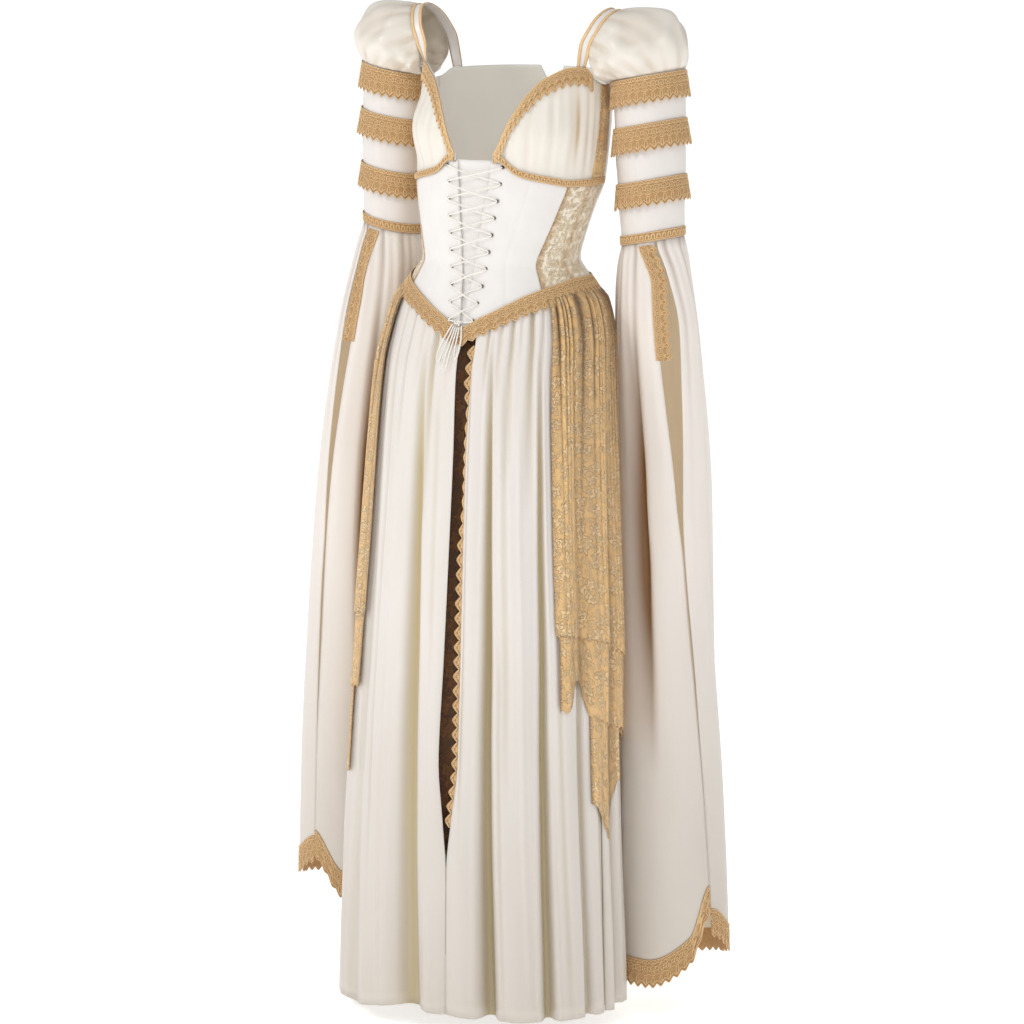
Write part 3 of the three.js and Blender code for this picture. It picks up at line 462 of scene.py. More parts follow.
    def relief(self, height: Socket, depth: float, strength: float = 1.0) -> None:
        """Raises the surface by a height from 0 to 1.

        Args:
            height: the height.
            depth: how deep it is, in metres.
            strength: how strongly it shows.
        """
        node = self.node("ShaderNodeBump", {"Strength": strength, "Distance": depth, "Height": height})
        self.feed(self.shader.inputs["Normal"], node.outputs["Normal"])

    def thin(self, base: object, share: float) -> None:
        """Lets light through the cloth.

        Args:
            base: the light's colour.
            share: how much of it goes through.
        """
        through = self.node("ShaderNodeBsdfTranslucent", {"Color": base}).outputs["BSDF"]
        both = self.node("ShaderNodeMixShader", {"Fac": share, 1: self.shader.outputs["BSDF"], 2: through})
        self.feed(self.tree.nodes["Material Output"].inputs["Surface"], both.outputs["Shader"])

    def surface(self, base: object, roughness: float, sheen: float = 0.0, metallic: float = 0.0) -> None:
        """Sets the shader's colour and gloss.

        Args:
            base: the base colour.
            roughness: how matt it is.
            sheen: how much soft light its fibres catch.
            metallic: how much it is a metal.
        """
        self.feed(self.shader.inputs["Base Color"], base)
        self.shader.inputs["Roughness"].default_value = roughness
        self.shader.inputs["Sheen Weight"].default_value = sheen
        self.shader.inputs["Metallic"].default_value = metallic

    def glow(self, code: str, strength: float) -> None:
        """Lets the surface give off a little light of a colour."""
        self.shader.inputs["Emission Color"].default_value = colour(code)
        self.shader.inputs["Emission Strength"].default_value = strength


@dataclass(frozen=True)
class Finish:
    """What one kind of cloth, cord or metal looks like."""

    name: str

    def dress(self, board: Board) -> None:
        """Lays the finish's nodes on a material's board."""
        raise NotImplementedError

    def make(self) -> bpy.types.Material:
        """Makes the material.

        Returns:
            The material.
        """
        board = Board(self.name)
        self.dress(board)
        return board.material


@dataclass(frozen=True)
class Satin(Finish):
    """Woven satin: smooth and softly shining, with painted shade in its folds and painted shade darkening
    it low on a long piece.
    """

    face: str
    # valley: the colour of the painted shade in the folds
    valley: str
    roughness: float = 0.33
    # glow: painted light, an emission that brightens inner faces lying in shade
    glow: float = 0.0
    # Painted shade that darkens a long piece towards its hem: its colour, how far below the top it starts
    # and how fast it grows.
    painted_hem_shade: str = "b5a995"
    painted_hem_shade_from: float = 0.45
    painted_hem_shade_rate: float = 0.7
    ripple: float = 0.0006
    threads: float = 1400.0
    sheen: float = 0.08
    through: float = 0.22

    def dress(self, board: Board) -> None:
        """Lays the nodes.

        Args:
            board: the material's board.
        """
        # Painted shade: the fold attribute, with a little uneven tone, mixes in the valley colour.
        cloudy = board.sum("MULTIPLY_ADD", board.noise(14, 5), 0.16, -0.07)
        share = board.sum("ADD", board.sum("POWER", board.fold(), 1.3), cloudy, clamp=True)
        folded = board.blend(share, colour(self.face), colour(self.valley))
        # Painted shade darkening the satin towards the hem.
        base = board.blend(board.lower(self.painted_hem_shade_from, self.painted_hem_shade_rate), folded, colour(self.painted_hem_shade))
        slub = board.sum("MULTIPLY", board.ridges(self.threads), 0.03)
        board.relief(board.sum("ADD", board.noise(22, 7, 4.0), slub), self.ripple, 0.6)
        board.surface(base, self.roughness, self.sheen)
        # The glow is painted light.
        board.glow(self.face, self.glow)
        board.thin(base, self.through)


@dataclass(frozen=True)
class Twill(Finish):
    """Matte corset twill with its fine slanting ribs."""

    face: str
    shade: str
    ribs: float = 7000.0

    def dress(self, board: Board) -> None:
        """Lays the nodes.

        Args:
            board: the material's board.
        """
        rib = board.sum("SINE", board.sum("MULTIPLY", board.sum("ADD", *board.axes()), self.ribs))
        share = board.sum("MULTIPLY_ADD", board.noise(30, 30), 0.5, -0.1, clamp=True)
        base = board.blend(share, colour(self.face), colour(self.shade))
        board.relief(board.sum("MULTIPLY_ADD", rib, 0.12, board.noise(40, 25)), 0.0005, 0.5)
        board.surface(base, 0.72, sheen=0.12)


@dataclass(frozen=True)
class FlowerLace(Finish):
    """Flat machine lace: corded flowers and leaves on a net, over what it lies on, with its fold colour
    mixed in by the fold attribute: painted shade in folds, or gold seam lines.
    """

    ground: str
    flower: str
    outline: str
    shade: str
    # fold: the colour mixed in by the fold attribute: painted shade in the overskirt's folds, the gold seam
    # lines on the side panels
    fold: str
    across: float
    patches: float = 1.3
    sheen: float = 0.2

    def dress(self, board: Board) -> None:
        """Lays the nodes.

        Args:
            board: the material's board.
        """
        petals, rims = board.flowers(self.across, 5, 0.34)
        leaves, leaf_rims = board.flowers(self.across * 0.5, 3, 0.32)
        net = board.net(360)
        fine = board.noise(70, 40, 5.0)
        patchy = board.sum("MULTIPLY_ADD", fine, self.patches, -0.27 * self.patches, clamp=True)
        uneven = board.blend(patchy, colour(self.ground), colour(self.shade))
        threads = board.blend(board.sum("MULTIPLY", net, 0.3), uneven, colour(self.flower))
        leafy = board.blend(board.sum("MULTIPLY", leaves, 0.4), threads, colour(self.flower))
        petal = board.blend(board.sum("MULTIPLY", petals, 0.65), leafy, colour(self.flower))
        lines = board.sum("MAXIMUM", rims, board.sum("MULTIPLY", leaf_rims, 0.7))
        corded = board.blend(board.sum("MULTIPLY", lines, 0.6), petal, colour(self.outline))
        # Painted shade in folds, or gold seam lines, from the fold attribute.
        folded = board.sum("MULTIPLY", board.fold(), 0.85, clamp=True)
        deep = board.blend(folded, corded, colour(self.fold))
        raised = board.sum("MULTIPLY_ADD", petals, 0.5, board.sum("MULTIPLY", net, 0.2))
        board.relief(board.sum("ADD", raised, lines), 0.0012, 1.0)
        board.surface(deep, 0.62, sheen=self.sheen)


@dataclass(frozen=True)
class Thread(Finish):
    """Twisted thread or cord."""

    face: str
    shade: str
    roughness: float = 0.6
    twists: float = 700

    def dress(self, board: Board) -> None:
        """Lays the nodes.

        Args:
            board: the material's board.
        """
        along, around = board.axes()
        slant = board.sum("ADD", board.sum("MULTIPLY", along, self.twists), around)
        wave = board.sum("SINE", board.sum("MULTIPLY", slant, 6.283))
        twist = board.sum("MULTIPLY_ADD", wave, 0.5, 0.5)
        worn = board.sum("MULTIPLY", board.noise(90, 2), 0.4)
        share = board.sum("MULTIPLY_ADD", twist, 0.45, worn, clamp=True)
        board.relief(twist, 0.0003, 0.7)
        board.surface(board.blend(share, colour(self.face), colour(self.shade)), self.roughness, sheen=0.15)


@dataclass(frozen=True)
class Net(Finish):
    """The close net that joins a trim's cords, with painted shade in the holes between its threads."""

    thread: str
    # gap: painted shade, the dark colour of the holes between the threads, standing for the shadow seen
    # through them
    gap: str

    def dress(self, board: Board) -> None:
        """Lays the nodes.

        Args:
            board: the material's board.
        """
        net = board.net(420)
        threads = board.sum("MULTIPLY", net, 0.6)
        # The gap colour, painted shade, shows between the threads and in uneven patches.
        share = board.sum("MULTIPLY_ADD", board.noise(160, 160), 0.5, threads, clamp=True)
        board.relief(net, 0.0005, 0.8)
        board.surface(board.blend(share, colour(self.gap), colour(self.thread)), 0.75, sheen=0.1)


@dataclass(frozen=True)
class Metal(Finish):
    """Small antique metal fittings."""

    face: str
    worn: str

    def dress(self, board: Board) -> None:
        """Lays the nodes.

        Args:
            board: the material's board.
        """
        patches = board.noise(600, 600)
        board.surface(board.blend(patches, colour(self.face), colour(self.worn)), 0.35, metallic=0.9)
        board.relief(patches, 0.0001, 0.5)


@dataclass(frozen=True)
class Plain(Finish):
    """The studio's pale floor."""

    face: str

    def dress(self, board: Board) -> None:
        """Lays the nodes.

        Args:
            board: the material's board.
        """
        board.surface(colour(self.face), 0.9)
        board.glow(self.face, 0.62)


@dataclass
class Wardrobe:
    """Every finish of the gown, made once."""

    # The second colour of each satin is the painted shade in its folds.
    satin: Satin = Satin("ivory_satin", "f9f3ed", "cfbc8c")
    cup_satin: Satin = Satin("cup_satin", "fcf7ee", "d3b587")
    puff_satin: Satin = Satin("puff_satin", "faf4ea", "c8b08c", 0.3)
    sleeve_satin: Satin = Satin("sleeve_satin", "f9f4ef", "8f6a44")
    # sleeve_inside: the bell's inner face, the sleeve satin given a darker, warmer colour as painted shade
    # and a glow as painted light
    sleeve_inside: Satin = Satin("sleeve_inside", "e6dac4", "cdb48c", 0.5, glow=0.2)
    # lining: its glow is painted light on the inside of the back
    lining: Satin = Satin("bodice_lining", "eeebe3", "d8d2c8", 0.6, glow=0.13)
    twill: Twill = Twill("corset_twill", "efebe7", "e2ddd8")
    # floral: its last colour is painted shade, mixed in by the fold attribute in the overskirt's folds
    floral: FlowerLace = FlowerLace(
        "floral_lace", "f0c588", "fadcab", "b78246", "dcae6e", "5d3813", 0.023
    )
    over_ivory: FlowerLace = FlowerLace(
        "lace_over_ivory", "fcf3e2", "f8e2ba", "dcb06e", "f4dfb8", "c09050", 0.013, 0.8
    )
    # dark: gold lace given a dark brown colour as painted shade, standing for the deep shadow of the slit
    dark: FlowerLace = FlowerLace(
        "dark_lace", "4a2a0c", "6a4118", "865a28", "2c1708", "180c04", 0.024, sheen=0.0
    )
    gold: Thread = Thread("gold_thread", "fddcaa", "deaf70")
    # net: its second colour is painted shade in the holes between the threads
    net: Net = Net("gold_net", "e4bb84", "a57746")
    cord: Thread = Thread("ivory_cord", "f8f5ef", "ebe5da", twists=420)
    # metal: dark antique metal for the hooks, also used as the painted shadow in the eyelets' holes
    metal: Metal = Metal("antique_eyelet", "2c2620", "5d5448")
    ring: Metal = Metal("eyelet_ring", "c9bfb2", "9c9184")
    floor: Plain = Plain("studio_floor", "ffffff")
    made: dict[str, bpy.types.Material] = field(default_factory=dict)

    def get(self, finish: Finish) -> bpy.types.Material:
        """Finds a finish's material, and makes it at its first use.

        Args:
            finish: the finish.

        Returns:
            The material.
        """
        if finish.name not in self.made:
            self.made[finish.name] = finish.make()
        return self.made[finish.name]


# Making pieces


def cut_size(points: Array, band: bool) -> tuple[tuple[float, float], float]:
    """Works out the flat size that a sheet was cut to, gathers and folds let out.

    Args:
        points: its grid of points.
        band: whether it is a trim, whose length is that of its top edge.

    Returns:
        Its width and length in metres, and its area in square metres.
    """
    widths = gaps(points, 1).sum(axis=1)
    width = (widths[0] if band else widths.max()) * MM
    length = gaps(points).sum(axis=0).max() * MM
    falling, rising = points[1:, 1:] - points[:-1, :-1], points[:-1, 1:] - points[1:, :-1]
    area = np.linalg.norm(np.cross(falling, rising), axis=2).sum() / 2 * MM * MM
    flat = (round(float(width), 3), round(float(length), 3))
    return flat, min(float(area), flat[0] * flat[1])


@dataclass
class Workshop:
    """Turns grids of points into cloth and paths into cord."""

    wardrobe: Wardrobe

    def mesh(
        self, name: str, points: Array, faces: list[list[int]], places: Array, finish: Finish, slot: Slot
    ) -> Piece:
        """Makes one smooth object.

        Args:
            name: the piece's name.
            points: its points in millimetres.
            faces: rows of point numbers.
            places: each point's own coordinates on the cloth, in metres.
            finish: its finish.
            slot: not used.

        Returns:
            The object, riding on the gown.
        """
        mesh = bpy.data.meshes.new(name)
        mesh.from_pydata((points * MM).tolist(), [], faces)
        layer = mesh.uv_layers.new(name="cloth")
        loops = np.zeros(len(mesh.loops), int)
        mesh.loops.foreach_get("vertex_index", loops)
        layer.data.foreach_set("uv", places[loops].astype(np.float32).ravel())
        mesh.polygons.foreach_set("use_smooth", np.ones(len(mesh.polygons), bool))
        mesh.materials.append(self.wardrobe.get(finish))
        mesh.update()
        piece = bpy.data.objects.new(name, mesh)
        bpy.context.scene.collection.objects.link(piece)
        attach(piece, "root")
        return piece

    def cloth(
        self,
        name: str,
        points: Array,
        finish: Finish,
        slot: Slot,
        core: Core = Body.core,
        thick: float = 1.2,
        closed: bool = False,
        fold: Array | None = None,
        held: Held = Held.HUNG,
        rests_on: Sequence[str] = (),
        with_pieces: Sequence[Piece] = (),
        inside: Finish | None = None,
        band: bool = False,
        has_solid: bool = True,
    ) -> None:
        """Makes a sheet of cloth from a grid of points.

        Args:
            name: the piece's name, which is also its solid's.
            points: rows of points, from the top down.
            finish: its finish.
            slot: the record's slot.
            core: gives the middle of the garment at a height, which the cloth's face looks away from.
            thick: its thickness, inwards from the points.
            closed: whether the last column joins the first.
            fold: how much of its finish's fold colour each point takes, from 0 to 1: painted shade in
                folds, or the gold seam lines on the side panels.
            held: not used.
            rests_on: not used.
            with_pieces: not used.
            inside: the finish of its inner face, where that differs.
            band: whether it is a trim, whose length is that of its top edge.
            has_solid: whether it stands for a solid.
        """
        across = running(gaps(points, 1).mean(axis=0))
        down = running(gaps(points).mean(axis=1))
        if closed:
            points = np.concatenate([points, points[:, :1]], axis=1)
            across = np.append(across, across[-1] + gaps(points, 1)[:, -1].mean())
            fold = None if fold is None else np.concatenate([fold, fold[:, :1]], axis=1)
        rows, columns = points.shape[:2]
        index = np.arange(rows * columns).reshape(rows, columns)
        faces = np.stack([index[:-1, :-1], index[1:, :-1], index[1:, 1:], index[:-1, 1:]], axis=-1)
        first = points[:-1, :-1]
        look = np.cross(points[1:, :-1] - first, points[:-1, 1:] - first)
        if np.sum(look * (first - core(first[..., 2]))) < 0:
            faces = faces[..., ::-1]
        places = np.stack(np.broadcast_arrays(across[None, :], -down[:, None]), axis=-1).reshape(-1, 2) * MM
        every = faces.reshape(-1, 4).tolist()
        piece = self.mesh(name + "_cloth", points.reshape(-1, 3), every, places, finish, slot)
        if fold is not None:
            depth = piece.data.attributes.new("fold", "FLOAT", "POINT")
            depth.data.foreach_set("value", np.clip(fold, 0, 1).astype(np.float32).ravel())
        if closed:
            weld = piece.modifiers.new("side seam", "WELD")
            weld.merge_threshold = WELD
        shell = piece.modifiers.new("thickness", "SOLIDIFY")
        shell.thickness = thick * MM
        shell.offset = -1.0
        if inside is not None:
            piece.data.materials.append(self.wardrobe.get(inside))
            shell.material_offset = 1
        if has_solid:
            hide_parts(name)
        flat, area = cut_size(points, band)
        LOG.info("%s: cut %.3f x %.3f m, %.4f m2", piece.name, *flat, area)

    def strands(
        self, name: str, lines: Array, normals: Array, width: float, height: float,
        finish: Finish, slot: Slot,
    ) -> Piece:
        """Makes many short cords of the same number of points, laid on a surface.

        Args:
            name: the piece's name.
            lines: cords, points along each.
            normals: the surface's normal at each point.
            width: a cord's half width.
            height: a cord's half height.
            finish: its finish.
            slot: the record's slot.

        Returns:
            The object.
        """
        count, steps = lines.shape[:2]
        side = unit(np.cross(unit(np.gradient(lines, axis=1)), normals))
        turns = np.arange(ROUND) * math.pi / 2
        ring = (
            lines[:, :, None]
            + width * np.cos(turns)[None, None, :, None] * side[:, :, None]
            + height * np.sin(turns)[None, None, :, None] * normals[:, :, None]
        )
        index = np.arange(count * steps * ROUND).reshape(count, steps, ROUND)
        turned = np.roll(index, -1, axis=2)
        faces = np.stack([index[:, :-1], turned[:, :-1], turned[:, 1:], index[:, 1:]], axis=-1)
        caps = np.concatenate([index[:, 0, ::-1], index[:, -1]])
        length = np.concatenate([np.zeros((count, 1)), np.cumsum(gaps(lines, 1), axis=1)], axis=1)
        places = np.stack(np.broadcast_arrays(length[:, :, None] * MM, turns / FULL), axis=-1)
        every = [*faces.reshape(-1, 4).tolist(), *caps.tolist()]
        return self.mesh(name, ring.reshape(-1, 3), every, places.reshape(-1, 2), finish, slot)

    def tube(self, name: str, path: Array, radius: float, sides: int = 10) -> Piece:
        """Makes one round cord with rounded ends along a path.

        Args:
            name: the solid's name.
            path: the points of its centreline.
            radius: its radius.
            sides: how many faces go round it, an even number.

        Returns:
            The cord.
        """
        end_size = 0.55
        ahead = unit(np.gradient(path, axis=0))
        side = unit(np.cross(ahead, np.broadcast_to([0.0, -1.0, 0.0], ahead.shape)))
        up = np.cross(side, ahead)
        turns = np.arange(sides) * 2 * math.pi / sides
        size = np.full(len(path), radius)
        size[[0, -1]] *= end_size
        ring = path[:, None] + size[:, None, None] * (
            np.cos(turns)[None, :, None] * side[:, None] + np.sin(turns)[None, :, None] * up[:, None]
        )
        index = np.arange(len(path) * sides).reshape(len(path), sides)
        turned = np.roll(index, -1, axis=1)
        faces = np.stack([index[:-1], index[1:], turned[1:], turned[:-1]], axis=-1).reshape(-1, 4)
        caps = []
        for row, step in ((index[0], 1), (index[-1], -1)):
            for k in range(sides // 2 - 1):
                caps.append([row[k], row[k + 1], row[sides - 2 - k], row[sides - 1 - k]][::step])
        places = np.stack(
            np.broadcast_arrays(running(gaps(path))[:, None] * MM, np.arange(sides)[None] / sides), axis=-1
        )
        every = [*faces.tolist(), *np.array(caps).tolist()]
        cord = self.mesh(
            name + "_cord", ring.reshape(-1, 3), every, places.reshape(-1, 2), self.wardrobe.cord, Slot.CORD
        )
        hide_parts(name)
        return cord


def smooth_path(points: Array, count: int) -> Array:
    """Runs an even-handed smooth curve through points.

    Args:
        points: the points that it passes through.
        count: how many points it has between two of them.

    Returns:
        The curve's points.
    """
    first, last = 2 * points[0] - points[1], 2 * points[-1] - points[-2]
    full = np.concatenate([[first], points, [last]])
    pieces = []
    for k in range(len(points) - 1):
        p = full[k : k + 4]
        t = running(np.sqrt(gaps(p)))
        at = np.linspace(t[1], t[2], count, endpoint=False)[:, None]
        line = list(p)
        for reach, rows in ((1, 3), (2, 2)):
            line = [
                ((t[j + reach] - at) * line[j] + (at - t[j]) * line[j + 1]) / (t[j + reach] - t[j])
                for j in range(rows)
            ]
        pieces.append(((t[2] - at) * line[0] + (at - t[1]) * line[1]) / (t[2] - t[1]))
    return np.concatenate([*pieces, points[-1:]])


@dataclass
class Trim:
    """A band of corded guipure lace whose lower edge ends in points.

    A surface gives the point at a share along the band and a distance down from its top edge.
    """

    shop: Workshop
    name: str
    surface: Surface
    deep: float
    pitch: float = 13.0
    point: float = 0.3
    core: Core = Body.core
    closed: bool = False
    slim: bool = False
    limit: Callable[[Array], Array] | None = None
    cord: float = 0.75
    cord_height: float = 0.55
    raised: float = 0.35
    thick: float = 0.6
    steps: int = 10
    mesh_rows: int = 6
    mesh_columns: int = 6

    def edge(self, share: Array, teeth: int) -> Array:
        """Works out the pointed edge.

        Args:
            share: places along the band, from 0 to 1.
            teeth: how many points the edge has.

        Returns:
            How far down the edge runs there.
        """
        phase = np.abs(2 * ((share * teeth) % 1) - 1)
        reach = self.deep * (1 - self.point * phase**1.2)
        return reach if self.limit is None else np.minimum(reach, self.limit(share))

    def pattern(self) -> Array:
        """Draws one tooth's cords.

        Returns:
            Points along each cord, as shares across the tooth and down to its edge.
        """
        t = np.linspace(0, 1, self.steps)
        c, s = np.cos(FULL * t), np.sin(FULL * t)
        if self.slim:
            knot, cross = (0.5 + 0.34 * c, 0.5 + 0.3 * s), (t, 0.5 + 0.3 * c)
            cords = [(t, 0.06 + 0 * t), (t, 0.9 + 0 * t), knot, cross]
            return np.stack([np.stack(cord, axis=1) for cord in cords])
        top_lines = [(t, depth + 0 * t) for depth in (0.03, 0.15, 0.56)]
        wave = (t, 0.09 + 0.05 * np.cos(2 * FULL * t))
        ring = (0.5 + 0.34 * c, 0.355 + 0.15 * s)
        heart = (0.5 + 0.13 * c, 0.355 + 0.06 * s)
        joint = (0.18 * c, 0.355 + 0.09 * s)
        leaf = (0.5 + 0.17 * s, 0.74 + 0.14 * c)
        hem_lines = [(t, depth + 0 * t) for depth in (0.985, 0.86)]
        cords = [*top_lines, wave, ring, heart, joint, leaf, *hem_lines]
        return np.stack([np.stack(cord, axis=1) for cord in cords])

    def make(self, rests_on: Sequence[str], held: Held = Held.LAID) -> None:
        """Makes the net and the cords on it.

        Args:
            rests_on: what it is sewn to.
            held: how it is held.
        """
        t = np.linspace(0, 1, 200)
        length = gaps(self.surface(t, np.full_like(t, self.deep / 2))).sum()
        teeth = max(2, round(length / self.pitch))
        pattern = self.pattern()
        along = (np.arange(teeth)[:, None, None] + pattern[None, :, :, 0]) / teeth
        along = along % 1.0 if self.closed else np.clip(along, 0.0, 1.0)
        down = pattern[None, :, :, 1] * self.edge(along, teeth)
        along, down = along.reshape(-1, self.steps), down.reshape(-1, self.steps)
        lines = self.surface(along, down)
        ahead, behind = np.clip(along + 0.002, 0, 1), np.clip(along - 0.002, 0, 1)
        over = self.surface(ahead, down) - self.surface(behind, down)
        under = self.surface(along, down + 0.5) - self.surface(along, down - 0.5)
        normals = outward(unit(np.cross(over, under)), lines, self.core(lines[..., 2]))
        wardrobe = self.shop.wardrobe
        cords = self.shop.strands(
            self.name + "_cords",
            lines + self.raised * normals,
            normals,
            self.cord,
            self.cord_height,
            wardrobe.gold,
            Slot.GOLD_LACE,
        )
        columns = teeth * self.mesh_columns
        share = np.arange(columns + (0 if self.closed else 1)) / columns
        rows = np.linspace(0, 1, self.mesh_rows)[:, None]
        edge = rows * self.edge(share, teeth)[None]
        self.shop.cloth(
            self.name,
            self.surface(np.broadcast_to(share, edge.shape), edge),
            wardrobe.net,
            Slot.GOLD_LACE,
            core=self.core,
            thick=self.thick,
            closed=self.closed,
            held=held,
            rests_on=rests_on,
            with_pieces=[cords],
            band=True,
        )


# The skirt


@dataclass(frozen=True)
class Valley:
    """A soft pleat valley: its angle at waist and hem, half its width and its depth at the hem."""

    waist: float
    hem: float
    half: float
    depth: float
    # full_shade: the depth at which the valley's painted shade is full
    full_shade: float = 20.0

    def shade(self) -> float:
        """Returns how strong the valley is, from 0 to 1: it sets the valley's painted shade and the height
        of its lip.
        """
        return min(1.0, self.depth / self.full_shade)


@dataclass(frozen=True)
class Crease:
    """A slighter trough or ridge on a pleat's crest, between two heights."""

    top: float
    hem: float
    half: float
    depth: float
    start: float
    end: float


@dataclass(frozen=True)
class Tuck:
    """A short pleat under the waist: its angle there, its length, its depth and how wide it is."""

    angle: float
    length: float
    depth: float
    wide: float = 1.0


@dataclass
class Skirt:
    """The pleated satin skirt with its front slit, the dark lace behind it, whose dark brown is painted
    shade, and its gold edging.
    """

    shop: Workshop
    tucks: tuple[Tuck, ...] = rows_of(
        Tuck,
        (-84, 150, 3.4), (-76, 230, 4.2, 1.3), (-69, 120, 3.0), (-61, 260, 4.4, 1.4), (-52, 190, 3.8),
        (-41, 240, 3.4, 1.3), (-31, 210, 3.2, 0.8), (-23, 110, 1.8, 1.5), (-13, 290, 4.8, 2.1),
        (-4, 100, 2.2, 1.2), (16, 110, 4.6, 0.8), (22.5, 130, 2.6, 1.4), (28.5, 260, 3.8, 1.6),
        (33.5, 90, 1.8, 0.9), (39, 300, 5.2, 1.9), (45.5, 130, 2.6, 0.8), (53, 260, 4.4), (58, 130, 3.0),
        (66, 220, 4.0), (72, 120, 3.0), (77, 180, 3.4), (86, 200, 3.6, 1.4), (96, 140, 3.2),
        (103, 240, 4.2, 1.3), (109, 120, 2.8), (119, 200, 3.8), (127, 150, 3.2, 1.3), (141, 230, 4.0),
        (149, 130, 3.0), (164, 210, 3.8, 1.4), (171, 140, 3.2), (179, 240, 4.0), (-166, 150, 3.4),
        (-158, 220, 4.0, 1.3), (-144, 140, 3.2), (-136, 230, 4.0), (-121, 160, 3.4, 1.5), (-114, 220, 3.8),
        (-99, 150, 3.2), (-91, 200, 3.6),
    )  # fmt: skip
    valleys: tuple[Valley, ...] = rows_of(
        Valley,
        (-172, -172, 5, 18), (-150, -150, 4, 22), (-128, -128, 5.5, 20), (-106, -106, 4, 18),
        (-80, -80, 5, 24), (-50, -48, 9, 6), (-19, -11.7, 7.5, 20), (18.8, 22.7, 4, 26),
        (44, 48.5, 3.4, 20), (62, 69, 2.6, 12), (89, 92, 5, 20), (113, 114, 4, 22), (135, 136, 5.5, 18),
        (158, 158, 4, 22),
    )  # fmt: skip
    creases: tuple[Crease, ...] = rows_of(
        Crease,
        (-66, -68, 3.0, 2.6, -140, -1120), (-58, -60, 2.4, -1.8, -200, -1120),
        (-38, -34, 3.0, 3.2, -120, -900), (-30, -26, 2.2, -1.6, -160, -1120),
        (-2, -1, 1.6, 1.6, -130, -620), (11, 12, 1.8, 2.2, -120, -820), (30, 33, 2.6, 3.4, -110, -760),
        (37, 40, 2.2, -1.6, -180, -1120), (28, 29, 1.6, 1.4, -500, -1120), (55, 59, 2.4, 2.6, -110, -1120),
        (75, 80, 2.8, 2.6, -140, -1120), (102, 103, 3.0, 3.0, -120, -980),
        (124, 125, 2.4, -2.0, -160, -1120), (146, 148, 2.8, 3.2, -120, -900),
        (170, 171, 3.0, 2.4, -140, -1120), (-162, -161, 2.6, 3.0, -120, -1000),
        (-139, -138, 2.4, -2.0, -160, -1120), (-117, -116, 2.8, 2.8, -120, -940),
        (-93, -92, 2.4, 2.2, -140, -1120),
    )  # fmt: skip
    crest_swell: float = 5.0
    fan_from: float = -60.0
    fan_over: float = 1020.0
    narrow_top: float = 0.3
    floor_share: float = 0.66
    wall_power: float = 4.5
    lip: float = 1.8
    edge_reach: float = 6.0
    gather: float = 0.5
    gather_fade: float = 55.0
    tuck_gain: float = 1.5
    tuck_half: tuple[float, float] = (2.6, 1.1)
    # tuck_shade: how much painted shade a tuck gets
    tuck_shade: float = 0.72
    sway: float = 1.1
    sway_length: float = 105.0
    slit: float = 5.5
    seam_right: float = -93.0
    seam_left: float = 80.0
    seam_half: float = 0.1
    satin: float = 1.6
    growth: Curve = Curve((-60, 0), (-118, 0.08), (-150, 0.2), (-265, 0.42), (-560, 0.72), (-1120, 1))
    hem: Curve = Curve(
        (-180, -1078), (-90, -1088), (-50, -1097), (-10, -1076), (40, -1080), (90, -1076), (180, -1078),
    )  # fmt: skip
    gap: Curve = Curve(
        (-90, 23), (-135, 25), (-265, 20), (-400, 22), (-560, 26), (-700, 30), (-790, 13),
        (-864, SEAM), (-1120, SEAM),
    )  # fmt: skip

    def lines(self, start: float, end: float) -> tuple[Array, Array, list[tuple[float, float]]]:
        """Lists a panel's fold lines.

        Args:
            start: the angle of its first edge.
            end: the angle of its last edge.

        Returns:
            The lines' angles at the hem and at the waist, and the crests between the valleys.
        """
        turned = [Valley(v.waist + 360, v.hem + 360, v.half, v.depth) for v in self.valleys]
        inside = [v for v in (*self.valleys, *turned) if start < v.hem < end]
        hem, waist, crests, last = [start], [start], [], start
        for valley in inside:
            crests.append((last, valley.hem - valley.half))
            last = valley.hem + valley.half
            for k in (-1, 0, 1):
                hem.append(valley.hem + k * valley.half)
                waist.append(valley.waist + k * valley.half)
        crests.append((last, end))
        return np.array([*hem, end]), np.array([*waist, end]), crests

    def share(self, z: Array) -> Array:
        """Returns how far down the skirt a height is, from 0 to 1."""
        return np.clip((z - self.fan_from) / -self.fan_over, 0, 1)

    def panels(self, line: Array) -> tuple[Array, Array]:
        """Follows fold lines up to the waist.

        Args:
            line: the fold lines' angles at the hem.

        Returns:
            Their angles at the waist, and how far each is up a crest between two valleys, from 0 to 1.
        """
        seams = (self.seam_right, self.slit, self.seam_left, self.seam_right + 360)
        turned = np.where(line < self.seam_right, line + 360, line)
        waist, swell = np.zeros_like(turned), np.zeros_like(turned)
        for start, end in zip(seams[:-1], seams[1:]):
            here = (turned >= start) & (turned <= end)
            hems, waists, crests = self.lines(start, end)
            waist = np.where(here, np.interp(turned, hems, waists), waist)
            for low, high in crests:
                t = np.clip((turned - low) / (high - low), 0, 1)
                swell = np.where(here, np.maximum(swell, 4 * t * (1 - t)), swell)
        return np.where(turned != line, waist - 360, waist), swell

